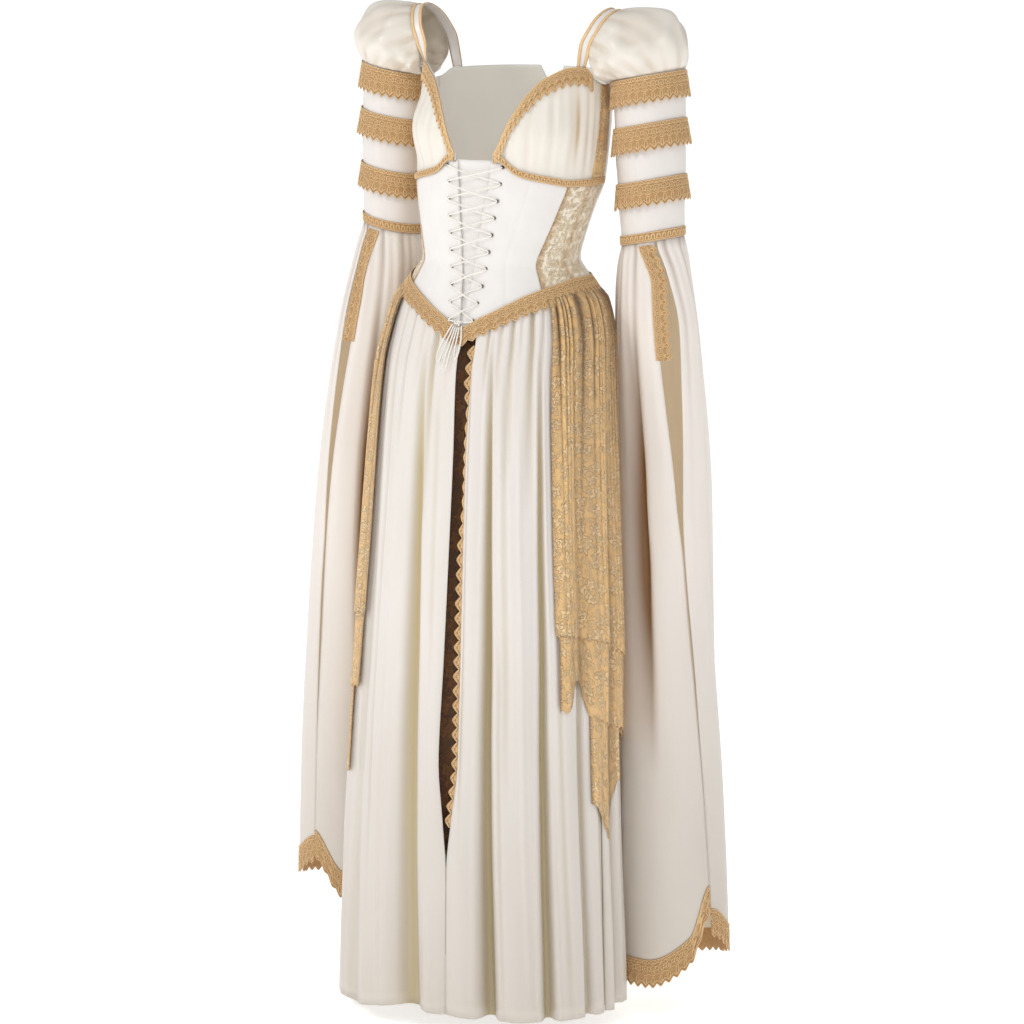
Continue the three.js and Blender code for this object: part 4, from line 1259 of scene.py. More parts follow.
    def long_folds(self, wrapped: Array, z: Array) -> tuple[Array, Array, Array]:
        """Works out the valleys and the creases.

        Args:
            wrapped: the fold lines' angles at the hem, from -180 to 180.
            z: heights.

        Returns:
            How deep the valleys are when fully grown, how deep the creases are, and how much painted shade
            both get.
        """
        share = self.share(z)
        spread = mix(self.narrow_top, 1.0, share**0.8)
        dip, small, dark = np.zeros_like(wrapped), np.zeros_like(wrapped), np.zeros_like(wrapped)
        for valley in self.valleys:
            off = wrap(wrapped - valley.hem) / (valley.half * spread)
            hill = 1 / (1 + np.abs(off / self.floor_share) ** self.wall_power)
            roll = bump((np.abs(off) - 1.35) / 0.55) * valley.shade()
            dip = dip + valley.depth * hill - self.lip * roll
            dark = np.maximum(dark, hill * valley.shade() * (1 - 0.35 * np.abs(off).clip(0, 1)))
        for crease in self.creases:
            place = mix(crease.top, crease.hem, share)
            start = np.clip((crease.start - z) / 90, 0, 1)
            fade = start * np.clip((z - crease.end) / 160 + 0.15, 0, 1)
            hill = bump(wrap(wrapped - place) / crease.half)
            small = small + crease.depth * fade * hill
            dark = np.maximum(dark, 0.3 * hill * fade * (crease.depth > 0))
        return dip, small, dark

    def short_folds(self, angle: Array, below: Array) -> tuple[Array, Array]:
        """Works out the gathers and tucks under the waist.

        Args:
            angle: degrees from the front.
            below: how far below the waist seam each point is.

        Returns:
            How far they stand out, and how much painted shade they get.
        """
        gathers = np.sin(angle * 0.92) * np.sin(angle * 1.31 + 0.8)
        fine = self.gather * np.exp(-below / self.gather_fade) * np.clip(below / 22.0, 0, 1) * gathers
        room = np.clip((np.abs(angle - self.slit) - 8.5) / 4, 0.25, 1)
        dark = np.zeros_like(angle)
        for tuck in self.tucks:
            reach = np.clip(1 - below / tuck.length, 0, 1)
            half = mix(*self.tuck_half, reach) * tuck.wide
            hill = bump(wrap(angle - tuck.angle) / half) * np.clip(below / 16, 0, 1) * reach**0.6
            fine = fine - self.tuck_gain * tuck.depth * hill * room
            dark = np.maximum(dark, self.tuck_shade * hill * min(1.0, tuck.depth / 4.5))
        return fine, dark

    def at(
        self, line: Array, z: Array, stand: Array | float = 0.0, follow: float = 1.0
    ) -> tuple[Array, Array]:
        """Places points of the skirt, or of a layer that stands off it.

        Args:
            line: the angles at the hem of the fold lines that the points are on.
            z: heights.
            stand: how far out the layer stands.
            follow: what share of the valleys' depth it follows; at 1 it also parts at the slit.

        Returns:
            The points, and how much painted shade each gets in the folds, from 0 to 1.
        """
        line, z = np.broadcast_arrays(line, z)
        wrapped = wrap(line)
        waist, swell = self.panels(line)
        grown = self.growth(z)
        dip, small, dark = self.long_folds(wrapped, z)
        angle = mix(waist, line, self.share(z))
        edge = np.clip(1 - np.abs(wrapped - self.slit) / self.edge_reach, 0, 1)
        open_half = self.gap(z) / 2 / Body.wide(z) / TURN
        angle = angle + np.where(wrapped >= self.slit, 1, -1) * edge * open_half * (follow == 1)
        below = np.maximum(Body.waist_seam(np.abs(wrapped)) - z, 0)
        fine, tucked = self.short_folds(angle, below)
        sway = self.sway * np.sin(z / self.sway_length + wrapped * 0.35) * grown
        out = grown * (self.crest_swell * swell - follow * dip) - follow * small + follow * (fine + sway)
        return Body.point(angle, z, out + stand), np.maximum(dark * np.clip(grown * 2.2, 0, 1), tucked)

    def columns(self, start: float, end: float, step: float = 0.62) -> Array:
        """Lists a panel's columns: even ones, and closer ones where the valleys turn in.

        Args:
            start: the angle of its first edge.
            end: the angle of its last edge.
            step: the even columns' distance.

        Returns:
            Their angles at the hem.
        """
        even = np.arange(start, end, step)
        steps = (-1, -0.66, -0.5, 0.5, 0.66, 1)
        clear, closest = 0.3, 0.12
        near = [v.hem + turn + v.half * k for v in self.valleys for turn in (0, 360) for k in steps]
        inside = [a for a in near if start + clear < a < end - clear]
        every = np.unique(np.concatenate([even, inside, [start, end]]))
        return every[np.concatenate([[True], np.diff(every) > closest])]

    def top(self, line: Array) -> Array:
        """Returns the height of the skirt's top edge, which drops clear of the point of the V."""
        wrapped = wrap(line)
        return Body.waist_seam(np.abs(wrapped)) - SEAM - 5.5 * bump(wrapped / 24.0)

    def panel(self, name: str, start: float, end: float) -> None:
        """Makes one panel of the skirt.

        Args:
            name: the solid's name.
            start: the fold line that it starts on.
            end: the fold line that it ends on.
        """
        line = self.columns(start, end)[None]
        down = np.linspace(0, 1, 64)[:, None] ** 1.3
        z = mix(self.top(line), self.hem(wrap(line)), down)
        points, depth = self.at(np.broadcast_to(line, z.shape), z)
        satin = self.shop.wardrobe.satin
        self.shop.cloth(name, points, satin, Slot.SATIN, fold=depth, rests_on=["waist_lace_left"])

    def inset(self) -> None:
        """Makes the dark lace panel that closes the slit from behind; its dark brown colour is painted
        shade standing for the deep slit's shadow.
        """
        down, across = grid(70, 24)
        z = mix(-103.0, -880.0, down)
        angle = mix(-3.0, 14.0, across)
        sag = 8 * np.sin(math.pi * across) ** 1.2 + 1.2 * np.sin(z / 60 + across * 5)
        points = Body.point(angle, z, -self.satin - 2.3 - sag)
        self.shop.cloth(
            "slit_inset",
            points,
            self.shop.wardrobe.dark,
            Slot.DARK_LACE,
            thick=0.8,
            rests_on=["skirt_front_left", "skirt_front_right"],
        )

    def edging(self) -> None:
        """Makes the pointed gold edging along the slit's left edge."""
        top, end, lap = -113.0, -800.0, 6.0
        shown = Curve(
            (-113, 1), (-170, 1), (-205, 0.4), (-330, 0.35), (-400, 0.85), (-560, 1), (-800, 0.9)
        )

        def surface(share: Array, down: Array) -> Array:
            """Places the edging, which runs down the slit and reaches across it.

            Args:
                share: places along it.
                down: distances from its edge.

            Returns:
                The points.
            """
            z = mix(top, end, share)
            per_mm = 1 / Body.wide(z) / TURN
            reach = np.where(down > lap, (down - lap) * shown(z), down - lap)
            angle = self.slit + self.gap(z) / 2 * per_mm - reach * per_mm
            return Body.point(angle, z, -self.satin - 1.0)

        def limit(share: Array) -> Array:
            """Returns how far the points may reach before they meet the slit's other edge."""
            return self.gap(mix(top, end, share)) - 2 + lap

        edging = Trim(self.shop, "slit_edging", surface, 18.0, 21.0, 0.5, cord=0.7, limit=limit)
        edging.make(["skirt_front_left"])

    def make(self) -> None:
        """Makes the whole skirt."""
        self.panel("skirt_front_left", self.slit + 1e-4, self.seam_left - self.seam_half)
        self.panel("skirt_front_right", self.seam_right + self.seam_half, self.slit - 1e-4)
        self.panel("skirt_back", self.seam_left + self.seam_half, self.seam_right + 360 - self.seam_half)
        self.inset()
        self.edging()


@dataclass
class Layer:
    """One lace layer: where it starts and ends round the hip, how far it stands off, and its hem."""

    start: float
    start_right: float
    end: float
    stand: float
    ruffle: float
    hem: Curve


@dataclass
class Overskirt:
    """Three floral lace layers from each hip round to the back, each longer than the one above."""

    shop: Workshop
    skirt: Skirt
    follow: float = 0.3
    per_degree: float = 2.3
    under_lace: float = 12.0
    layers: dict[str, Layer] = field(
        default_factory=lambda: {
            "tail": Layer(73, 57, 98, 0.9, 0.6, Curve((57, -757), (73, -767), (86, -828), (98, -745))),
            "under": Layer(
                56, 51, 179.9, 3.0, 0.7,
                Curve(
                    (56, -628), (61, -632), (67, -588), (73, -640), (110, -682), (150, -742), (180, -778),
                ),
            ),
            "top": Layer(54, 49, 179.9, 5.1, 1.2, Curve((54, -521), (110, -573), (180, -640))),
        }
    )  # fmt: skip

    def make(self) -> None:
        """Makes every layer on both sides."""
        for side_name, side in SIDES.items():
            for name, layer in self.layers.items():
                self.drape(f"overskirt_{name}_{side_name}", layer, side)

    def drape(self, name: str, layer: Layer, side: int) -> None:
        """Drapes one layer.

        Args:
            name: the solid's name.
            layer: its sizes.
            side: 1 on the wearer's left, -1 on the right.
        """
        start = layer.start if side > 0 else layer.start_right
        columns = max(40, round((layer.end - start) * self.per_degree))
        down, across = grid(40, columns)
        down = down**1.25
        line = mix(start, layer.end, across)
        scallop = 3.6 * np.abs(np.sin(line * 0.9)) + 1.2 * np.abs(np.sin(line * 2.3))
        hem = layer.hem(line) + scallop
        top = Body.waist_seam(line) - self.under_lace - SEAM
        z = mix(top, hem, down)
        below = top - z
        turn = line * 0.86 + 1.3 * np.sin(line * 0.37 + 1) + 0.6 * np.sin(below / 120 + line / 7)
        waves = np.abs(np.sin(turn)) ** 0.6
        slow = (1 + np.sin(line * 0.29 + below / 240 + 1.3)) / 2
        ruffle = 4.8 * np.exp(-below / 100) + layer.ruffle * (0.4 + slow)
        off = layer.stand * mix(0.65, 1.0, np.clip(below / 60, 0, 1))
        off = off + ruffle * np.clip(below / 14, 0, 1) * waves + 4.0 * slow * np.clip(below / 120, 0, 1)
        points, depth = self.skirt.at(side * np.broadcast_to(line, z.shape), z, off, self.follow)
        # Painted shade: dark in the gathers' troughs near the top, under the slow sways, along the layer's
        # front edge and where the sleeve shadows its side, plus the skirt's painted fold shade.
        painted_crease_shade = (1 - waves) ** 1.8 * (2.1 * np.exp(-below / 170) + 0.14 * slow)
        edge = np.clip(1 - (line - start) / 2.2, 0, 1) ** 2
        painted_sleeve_shadow = 0.85 * bump((line - 108) / 16) * np.exp(-below / 170)
        fold = np.maximum(painted_crease_shade + 0.25 * (1 - slow), 0.8 * edge) + 0.3 * depth + painted_sleeve_shadow
        self.shop.cloth(
            name,
            points,
            self.shop.wardrobe.floral,
            Slot.FLORAL_LACE,
            thick=0.8,
            fold=fold,
            rests_on=["skirt_back"],
        )


# The bodice


@dataclass
class Bodice:
    """The laced corset fronts, side panels, gathered cups, back and its trims."""

    shop: Workshop
    side_seam: Curve = Curve((112, 60), (-60, 46.5))
    side_to: float = 100.0
    cup_from: float = 12.0
    cup_full: float = 13.0
    trim_off: float = 2.4
    placket: Curve = Curve((145, 26), (60, 17), (-20, 8), (-100, 1))
    notch_half: float = 8.0
    notch_deep: float = 40.0

    def placket_angle(self, z: Array) -> Array:
        """Returns half the gap between the placket edges, as an angle."""
        return np.arcsin(self.placket(z) / Body.wide(z)) / TURN

    def fullness(self, angle: Array, z: Array) -> Array:
        """Returns how far the cup stands off the body's outline."""
        return self.cup_full * bump((np.abs(angle) - 44) / 36) * bump((z - 186) / 62)

    def between_seams(
        self, angles: Callable[[Array, Array], Array], rows: int, columns: int
    ) -> tuple[Array, Array, Array]:
        """Lays a grid between the seam under the bust and the waist seam.

        Args:
            angles: gives the angles at the heights of its points and their shares across.
            rows: how many rows it has.
            columns: how many columns it has.

        Returns:
            The points' angles, their heights and their shares across.
        """
        down, across = grid(rows, columns)
        z = np.zeros((rows, columns))
        for _ in range(4):
            angle = angles(z, across)
            z = mix(Body.underbust(angle) - SEAM, Body.waist_seam(angle) + SEAM, down)
        return angle, z, across

    def front(self, name: str, side: int) -> None:
        """Makes one laced front.

        Args:
            name: left or right.
            side: 1 on the wearer's left, -1 on the right.
        """

        def angles(z: Array, across: Array) -> Array:
            """Returns angles from the lacing's edge to the side seam."""
            return mix(self.placket_angle(z), self.side_seam(z) - SEAM / 2, across)

        _, z, across = self.between_seams(angles, 46, 40)
        seam = -0.9 * bump((across - 0.5) / 0.03) - 0.8 * bump((across - 0.085) / 0.02)
        pull = 0.5 * np.sin(z / 9.0 + across * 9) * bump((across - 0.2) / 0.5)
        self.shop.cloth(
            "corset_front_" + name,
            Body.point(side * angles(z, across), z, seam + pull),
            self.shop.wardrobe.twill,
            Slot.CORSET,
            thick=1.8,
            rests_on=["side_panel_" + name],
        )

    def stomacher(self) -> None:
        """Makes the modesty panel behind the lacing, with its turned top hem."""
        down, across = grid(50, 40)
        z = mix(Body.underbust(0) + 1.5, Body.waist_seam(0) + 4, down) + 0 * across
        reach = self.placket_angle(z) + mix(5.0, 3.0, down)
        creases = 0.7 * np.sin(z / 11.0 + 6 * across) * np.sin(math.pi * across)
        hem = 0.7 * (down < 0.05)
        self.shop.cloth(
            "stomacher",
            Body.point(mix(-reach, reach, across), z, -2.9 + creases - 0.7 + hem),
            self.shop.wardrobe.twill,
            Slot.CORSET,
            rests_on=["corset_front_left", "corset_front_right"],
        )

    def side(self, name: str, side: int) -> None:
        """Makes one lace-covered side panel.

        Args:
            name: left or right.
            side: 1 on the wearer's left, -1 on the right.
        """

        def angles(z: Array, across: Array) -> Array:
            """Returns angles from the side seam to under the arm."""
            return mix(self.side_seam(z) + SEAM / 2, self.side_to, across)

        angle, z, across = self.between_seams(angles, 40, 34)
        seams = 0.8 * bump(across / 0.14) + 0.6 * bump((across - 0.52) / 0.1) + 0 * z
        self.shop.cloth(
            "side_panel_" + name,
            Body.point(side * angle, z, 0.4 * np.sin(z / 14 + across * 4)),
            self.shop.wardrobe.over_ivory,
            Slot.LACE_OVER_IVORY,
            thick=1.8,
            fold=seams,
            rests_on=["bodice_back_" + name],
        )

    def gathers(self, angle: Array, down: Array) -> tuple[Array, Array]:
        """Works out the cup's soft gathers.

        Args:
            angle: degrees from the front.
            down: from the neckline, 0, to the seam under the bust, 1.

        Returns:
            How far each point stands out, and how much painted shade it gets in the gathers and the one
            strong fold.
        """
        waves = np.sin(angle * 0.92 + 0.6) * 0.7 + np.sin(angle * 0.47 + 2) * 0.6
        rise = np.sin(math.pi * np.clip(down, 0, 1)) ** 0.6 * mix(0.5, 1.0, down)
        strong = bump((angle - 63) / 4.5) * np.sin(math.pi * down)
        return 1.3 * waves * rise - 2.6 * strong, 0.2 * np.clip(-waves, 0, 1) * rise + 0.85 * strong**2

    def cup(self, name: str, side: int) -> None:
        """Makes one cup, gathered into the seam under the bust.

        Args:
            name: left or right.
            side: 1 on the wearer's left, -1 on the right.
        """
        down, across = grid(56, 90)
        angle = mix(self.cup_from, self.side_to, across)
        z = mix(Body.neckline(angle), Body.underbust(angle) + SEAM / 2, down)
        gathers, fold = self.gathers(angle, down)
        self.shop.cloth(
            "cup_" + name,
            Body.point(side * angle, z, self.fullness(angle, z) + gathers),
            self.shop.wardrobe.cup_satin,
            Slot.SATIN,
            thick=1.6,
            fold=fold,
            held=Held.GATHERED,
            rests_on=["corset_front_" + name],
        )

    def underarm(self, name: str, side: int) -> None:
        """Makes the lace laid over the cup's end under the arm.

        Args:
            name: left or right.
            side: 1 on the wearer's left, -1 on the right.
        """
        down, across = grid(30, 20)
        angle = mix(80.0 + 5 * (1 - down), self.side_to - 0.5, across)
        z = mix(Body.neckline(angle) - 1, Body.underbust(angle) + 1, down)
        gathers, _ = self.gathers(angle, down)
        self.shop.cloth(
            "underarm_lace_" + name,
            Body.point(side * angle, z, self.fullness(angle, z) + gathers + 0.8),
            self.shop.wardrobe.floral,
            Slot.FLORAL_LACE,
            thick=0.5,
            held=Held.LAID,
            rests_on=["cup_" + name],
            has_solid=False,
        )

    def back(self, name: str, side: int) -> None:
        """Makes one half of the back, which opens in a notch at the top.

        Args:
            name: left or right.
            side: 1 on the wearer's left, -1 on the right.
        """
        down, across = grid(60, 50)
        first = self.side_to + 0.2
        z = mix(Body.neckline(180), Body.waist_seam(180) + SEAM, down) + 0 * across
        for _ in range(3):
            below = Body.neckline(180) - z
            notch = self.notch_half * np.maximum(0, 1 - below / self.notch_deep)
            angle = mix(first, 180 - np.maximum(notch, 0.1), across)
            z = mix(Body.neckline(angle), Body.waist_seam(angle) + SEAM, down)
        self.shop.cloth(
            "bodice_back_" + name,
            Body.point(side * angle, z, 0.4 * np.sin(z / 21 + angle / 7)),
            self.shop.wardrobe.satin,
            Slot.SATIN,
            thick=1.8,
            rests_on=["side_panel_" + name],
            inside=self.shop.wardrobe.lining,
        )

    def placket_back(self) -> None:
        """Makes the flap that covers the centre-back closing."""
        down, across = grid(40, 14)
        angle = mix(169.0, 191.0, across)
        z = mix(236.0, -21.0, down)
        self.shop.cloth(
            "back_placket",
            Body.point(angle, z + 0 * angle, 3.4),
            self.shop.wardrobe.satin,
            Slot.SATIN,
            rests_on=["bodice_back_left", "bodice_back_right"],
        )

    def trims(self, name: str, side: int) -> None:
        """Makes the lace along the neckline, the braid under the bust and the lace at the waist.

        Args:
            name: left or right.
            side: 1 on the wearer's left, -1 on the right.
        """
        spread = np.linspace(12.6, 75.0, 300)
        run = running(gaps(Body.point(spread, Body.neckline(spread))))
        even = run / run[-1]

        def neck_angle(share: Array) -> Array:
            """Returns the angle at an even share of the neckline's length."""
            return np.interp(share, even, spread)

        def on_cup(angle: Array, z: Array) -> Array:
            """Returns points of a trim on the cup."""
            return Body.point(side * angle, z, self.fullness(angle, z) + self.trim_off)

        def neck(share: Array, down: Array) -> Array:
            """Returns points on the neckline lace."""
            angle = neck_angle(share)
            return on_cup(angle, Body.neckline(angle) + SEAM - down)

        def room(share: Array) -> Array:
            """Keeps the neckline lace clear of the seam where the cup is low.

            Args:
                share: places along the lace.

            Returns:
                How deep it may be there.
            """
            angle = neck_angle(share)
            slope = np.clip((angle - 13) / 9, 0, 1)
            return mix(0.92, 0.5, slope) * (Body.neckline(angle) - Body.underbust(angle)) + 3

        def bust(share: Array, down: Array) -> Array:
            """Places the braid under the bust, higher next to the lacing.

            Args:
                share: places along the braid.
                down: distances down from its top edge.

            Returns:
                The points.
            """
            angle = mix(13.4, 99.0, share)
            above = mix(10.5, 4.5, np.clip((angle - 17) / 7, 0, 1))
            return on_cup(angle, Body.underbust(angle) + above - down)

        def waist(share: Array, down: Array) -> Array:
            """Returns points on the band of lace over the waist seam."""
            angle = mix(0.15, 179.85, share)
            return Body.point(side * angle, Body.waist_seam(angle) + 6 - down, 2.6)

        shop, cup = self.shop, ["cup_" + name]
        Trim(shop, "neckline_lace_" + name, neck, 27.0, 12.0, limit=room).make(cup)
        Trim(shop, "underbust_braid_" + name, bust, 9.5, 8.0, 0.0, slim=True).make(cup)
        Trim(shop, "waist_lace_" + name, waist, 28.0, 13.0, 0.22).make(["skirt_back"])

    def make(self) -> None:
        """Makes the whole bodice."""
        self.stomacher()
        self.placket_back()
        for name, side in SIDES.items():
            self.front(name, side)
            self.side(name, side)
            self.cup(name, side)
            self.underarm(name, side)
            self.back(name, side)
            self.trims(name, side)


# The sleeves


@dataclass
class Fold:
    """A long fold of a bell sleeve: its place round the sleeve, half width, depth and reach."""

    top: float
    hem: float
    half: float
    depth: float
    start: float
    end: float


@dataclass
class Sleeve:
    """One sleeve: a gathered puff, an upper sleeve with three lace bands and a long open bell."""

    shop: Workshop
    name: str
    side: int
    arm: tuple[tuple[float, float, float, float, float], ...]
    slit: tuple[tuple[float, float, float], ...]
    hem: Curve
    folds: tuple[Fold, ...] = rows_of(
        Fold,
        (0.87, 0.8, 0.066, 15, -60, -740),
        (0.72, 0.66, 0.06, 10, -40, -1100),
        (0.5, 0.52, 0.072, 10, -40, -1100),
        (0.3, 0.34, 0.06, 9, -40, -1100),
        (0.14, 0.17, 0.054, 8, -60, -1100),
    )
    laces: tuple[tuple[float, float, float], ...] = ((261.5, 40, 5), (195, 40, 6), (116, 38, 6))
    top_z: float = 262.0
    middle_z: float = 145.0
    elbow_z: float = 28.0
    tilt: float = 0.19
    armhole: Curve = Curve((0, 164), (60, 151), (90, 140), (112, 137), (134, 142), (180, 147.5))

    def __post_init__(self) -> None:
        """Fits the curves of the arm and of the slit."""
        self.x, self.y, self.wide, self.deep = curves(*self.arm)
        self.slit_at, self.slit_half = curves(*self.slit)

    def core(self, z: Array) -> Array:
        """Returns the middle of the arm at each height."""
        return stack(self.side * self.x(z), self.y(z), z)

    def point(
        self, angle: Array, z: Array, out: Array | float = 0.0, tilt: Array | float | None = None
    ) -> Array:
        """Places points on the sleeve.

        Args:
            angle: degrees round the arm, 0 at the front and growing outwards.
            z: the heights of the rings.
            out: distance outwards.
            tilt: how steeply the rings rise towards the outside of the arm.

        Returns:
            The points.
        """
        tilt = self.tilt if tilt is None else tilt
        s, c = np.sin(angle * TURN), np.cos(angle * TURN)
        x = self.x(z) + (self.wide(z) + out) * s
        y = self.y(z) - (self.deep(z) + out) * c
        return stack(self.side * x, y, z + tilt * (self.wide(z) + out) * s)

    def hole_point(self, turn: Array) -> Array:
        """Returns points on the armhole, by degrees round it: 0 on top and 90 in front."""
        c, s = np.cos(turn * TURN), np.sin(turn * TURN)
        return stack(self.side * self.armhole(np.abs(wrap(turn))), 38 - 47 * s, 301 + 52 * c)

    def tube_point(self, angle: Array, z: Array, out: Array | float) -> Array:
        """Places points on the upper sleeve, which runs straight between three rings.

        Args:
            angle: degrees round the arm.
            z: the heights of the rings.
            out: distance outwards.

        Returns:
            The points.
        """
        z = np.asarray(z, float)
        high = z >= self.middle_z
        above = np.where(high, self.top_z, self.middle_z)
        below = np.where(high, self.middle_z, self.elbow_z)
        t = ((above - z) / (above - below))[..., None]
        return mix(self.point(angle, above, out), self.point(angle, below, out), t)

    def upper(self) -> None:
        """Makes the upper sleeve and the lace on it."""
        down, across = grid(40, 64)
        angle = 360 * across[:, :-1]
        z = mix(self.top_z, self.elbow_z, down) + 0 * angle
        wrinkle = 0.5 * np.sin(z / 13 + 2 * np.sin(angle * TURN)) * np.sin(2 * angle * TURN)
        shop, own = self.shop, "upper_sleeve_" + self.name
        shop.cloth(
            own,
            self.tube_point(angle, z, wrinkle - 0.2),
            shop.wardrobe.sleeve_satin,
            Slot.SATIN,
            core=self.core,
            closed=True,
            rests_on=["puff_" + self.name],
        )
        for number, (top, deep, flare) in enumerate(self.laces, 1):

            def band(
                share: Array, down: Array, top: float = top, deep: float = deep, flare: float = flare
            ) -> Array:
                """Returns points on one lace band, which flares from the sleeve."""
                off = 1.4 + flare * down / deep + 0.8 * np.sin(share * 44) * down / deep
                return self.tube_point(360 * share, top - down + 0 * share, off)

            lace = f"sleeve_lace_{number}_{self.name}"
            Trim(shop, lace, band, deep, 11.5, 0.17, self.core, closed=True).make([own])

        def braid(share: Array, down: Array) -> Array:
            """Returns points on the braid at the elbow."""
            return self.tube_point(360 * share, self.elbow_z + 14 - down + 0 * share, 1.2)

        lace = "elbow_braid_" + self.name
        Trim(shop, lace, braid, 13.5, 8.0, 0.0, self.core, closed=True, slim=True).make([own])

    def puff_point(self, turn: Array, share: Array, gather: Array | float) -> Array:
        """Places points on the puff.

        Args:
            turn: degrees round the armhole, 0 on top and 90 in front.
            share: from the sleeve's top ring, 0, to the armhole, 1.
            gather: distance outwards.

        Returns:
            The points.
        """
        low = self.point(90 - turn, self.top_z + 0.5 + 0 * turn)
        high = self.hole_point(turn)
        c, s = np.cos(turn * TURN), np.sin(turn * TURN)
        amount = np.hypot(np.where(c > 0, 46, 1) * c, 15 * s)
        swell = (amount + gather) * np.maximum(np.sin(math.pi * share), 0) ** 0.75
        away = stack(self.side * 0.8 * np.maximum(c, 0), -s, 0.6 * np.maximum(c, 0))
        size = np.linalg.norm(away, axis=-1, keepdims=True)
        inward = np.broadcast_to([-float(self.side), 0.0, 0.0], away.shape)
        away = np.where(size < 1e-3, inward, away / np.maximum(size, 1e-3))
        return mix(low, high, share[..., None]) + away * swell[..., None]

    def puff(self) -> None:
        """Makes the puff, gathered into the armhole and into the sleeve."""
        down, across = grid(44, 121)
        turn = 360 * across[:, :-1] + 0 * down
        share = down + 0 * turn
        ends = np.abs(2 * share - 1) ** 1.5
        round_arm = turn * TURN
        waves = np.sin(round_arm * 17 + 1.2 * np.sin(share * 4)) + 0.7 * np.sin(round_arm * 11 + 2)
        soft = 2.2 * np.sin(round_arm * 5 + share * 3) + 2.0 * np.sin(round_arm * 3 - share * 8 + 1)
        soft = soft + 1.8 * np.sin(round_arm * 8 + share * 9 + 2) * np.sin(round_arm * 2 + share * 4)
        soft = soft * 1.5
        middle = self.puff_point(np.array([0.0, 180.0]), np.array([0.5, 0.5]), 0.0).mean(axis=0)
        # Painted shade in the puff's gathers and soft creases.
        fold = 0.3 * np.clip(-waves, 0, 1) * (0.3 + ends) + 0.07 * np.clip(-soft, 0, 3)
        self.shop.cloth(
            "puff_" + self.name,
            self.puff_point(turn, share, (0.7 + 2.2 * ends) * waves + soft),
            self.shop.wardrobe.puff_satin,
            Slot.SATIN,
            core=lambda z: np.broadcast_to(middle, (*z.shape, 3)),
            closed=True,
            fold=fold,
            held=Held.GATHERED,
            rests_on=["shoulder_strap_" + self.name],
        )

    def bell_point(self, share: Array, z: Array, out: Array | float = 0.0) -> tuple[Array, Array]:
        """Places points on the bell.

        Args:
            share: round the bell, from the slit's outer edge behind the arm to its front flap.
            z: heights before the rings are tilted.
            out: distance outwards.

        Returns:
            The points, and how much painted shade each gets in the folds and in the gathers under the
            elbow.
        """
        half = self.slit_half(z)
        angle = self.slit_at(z) + half + share * (360 - 2 * half)
        depth, dark = np.zeros_like(angle), np.zeros_like(angle)
        for fold in self.folds:
            t = np.clip((fold.start - z) / (fold.start - fold.end), 0, 1)
            fade = np.sin(math.pi * t) if fold.end > -1000 else np.sqrt(t)
            place = mix(fold.top, fold.hem, np.minimum(1, (-60 - z) / 900))
            off = (share - place) / fold.half
            hill = np.where(off < 0.25, bump((off - 0.25) / 1.25), bump((off - 0.25) / 0.5))
            depth = depth + fold.depth * fade * hill
            # Painted shade, brown and widest on the fold's left side.
            shade = np.where(off < 0.3, bump((off - 0.3) / 1.9), bump((off - 0.3) / 0.35))
            dark = np.maximum(dark, shade**1.2 * fade * (fold.depth / 14.5) ** 4)
        below = np.maximum(self.elbow_z - z, 0)
        fine = np.sin(share * 88 + 1.3) * np.sin(share * 37)
        gathers = 3.0 * np.exp(-below / 150) * np.clip(below / 16, 0, 1) * fine
        sway = 1.6 * np.sin(z / 120 + share * 15) * np.clip(below / 300, 0, 1)
        sway = sway + 7 * bump((share - 0.63) / 0.2) * np.clip(below / 250, 0, 1)
        tilt = self.tilt * np.clip((z + 120) / 150, 0, 1)
        # Painted shade in the gathers under the elbow.
        dark = dark + 0.6 * np.clip(-fine, 0, 1) * np.exp(-below / 180)
        return self.point(angle, z, out - depth + gathers + sway, tilt), dark

    def bell(self) -> None:
        """Makes the bell and the lace on its hem and slit."""
        down, across = grid(76, 110)
        start = self.elbow_z - SEAM
        z = mix(start, self.hem(across), down)
        points, dark = self.bell_point(across + 0 * z, z)
        shop, own = self.shop, "bell_sleeve_" + self.name
        shop.cloth(
            own,
            points,
            shop.wardrobe.sleeve_satin,
            Slot.SATIN,
            core=self.core,
            fold=dark,
            rests_on=["upper_sleeve_" + self.name],
            inside=shop.wardrobe.sleeve_inside,
        )

        def hem_lace(share: Array, down: Array) -> Array:
            """Places the lace that hangs from the hem.

            Args:
                share: places along it.
                down: distances from its edge.

            Returns:
                The points.
            """
            sewn = 7.0
            edge = self.hem(share)
            on_cloth, _ = self.bell_point(share, edge + sewn - np.minimum(down, sewn), 0.9)
            lap, _ = self.bell_point(share, edge + 30.0, 0.9)
            low, _ = self.bell_point(share, edge, 0.9)
            return on_cloth + unit(low - lap) * np.maximum(down - sewn, 0)[..., None]

        def slit_lace(share: Array, down: Array) -> Array:
            """Places the lace along the front flap, reaching into the slit.

            Args:
                share: places along it.
                down: distances from its edge.

            Returns:
                The points.
            """
            z = mix(24.0, -138.0, share)
            lap = 24 - np.clip(self.slit_half(z) * 2 * self.wide(z) * TURN - 2, 0, 18)
            around = 2 * math.pi * self.wide(z)
            near, _ = self.bell_point(1 - (lap - np.minimum(down, lap)) / around, z, 1.2)
            inner, _ = self.bell_point(1 - lap / around, z, 1.2)
            edge, _ = self.bell_point(np.ones_like(z), z, 1.2)
            return near + unit(edge - inner) * np.maximum(down - lap, 0)[..., None]

        for lace, surface, deep, pitch, point in (
            ("bell_hem_lace_", hem_lace, 43.0, 14.0, 0.16),
            ("bell_slit_lace_", slit_lace, 24.0, 15.0, 0.25),
        ):
            Trim(shop, lace + self.name, surface, deep, pitch, point, self.core).make([own], Held.HUNG)

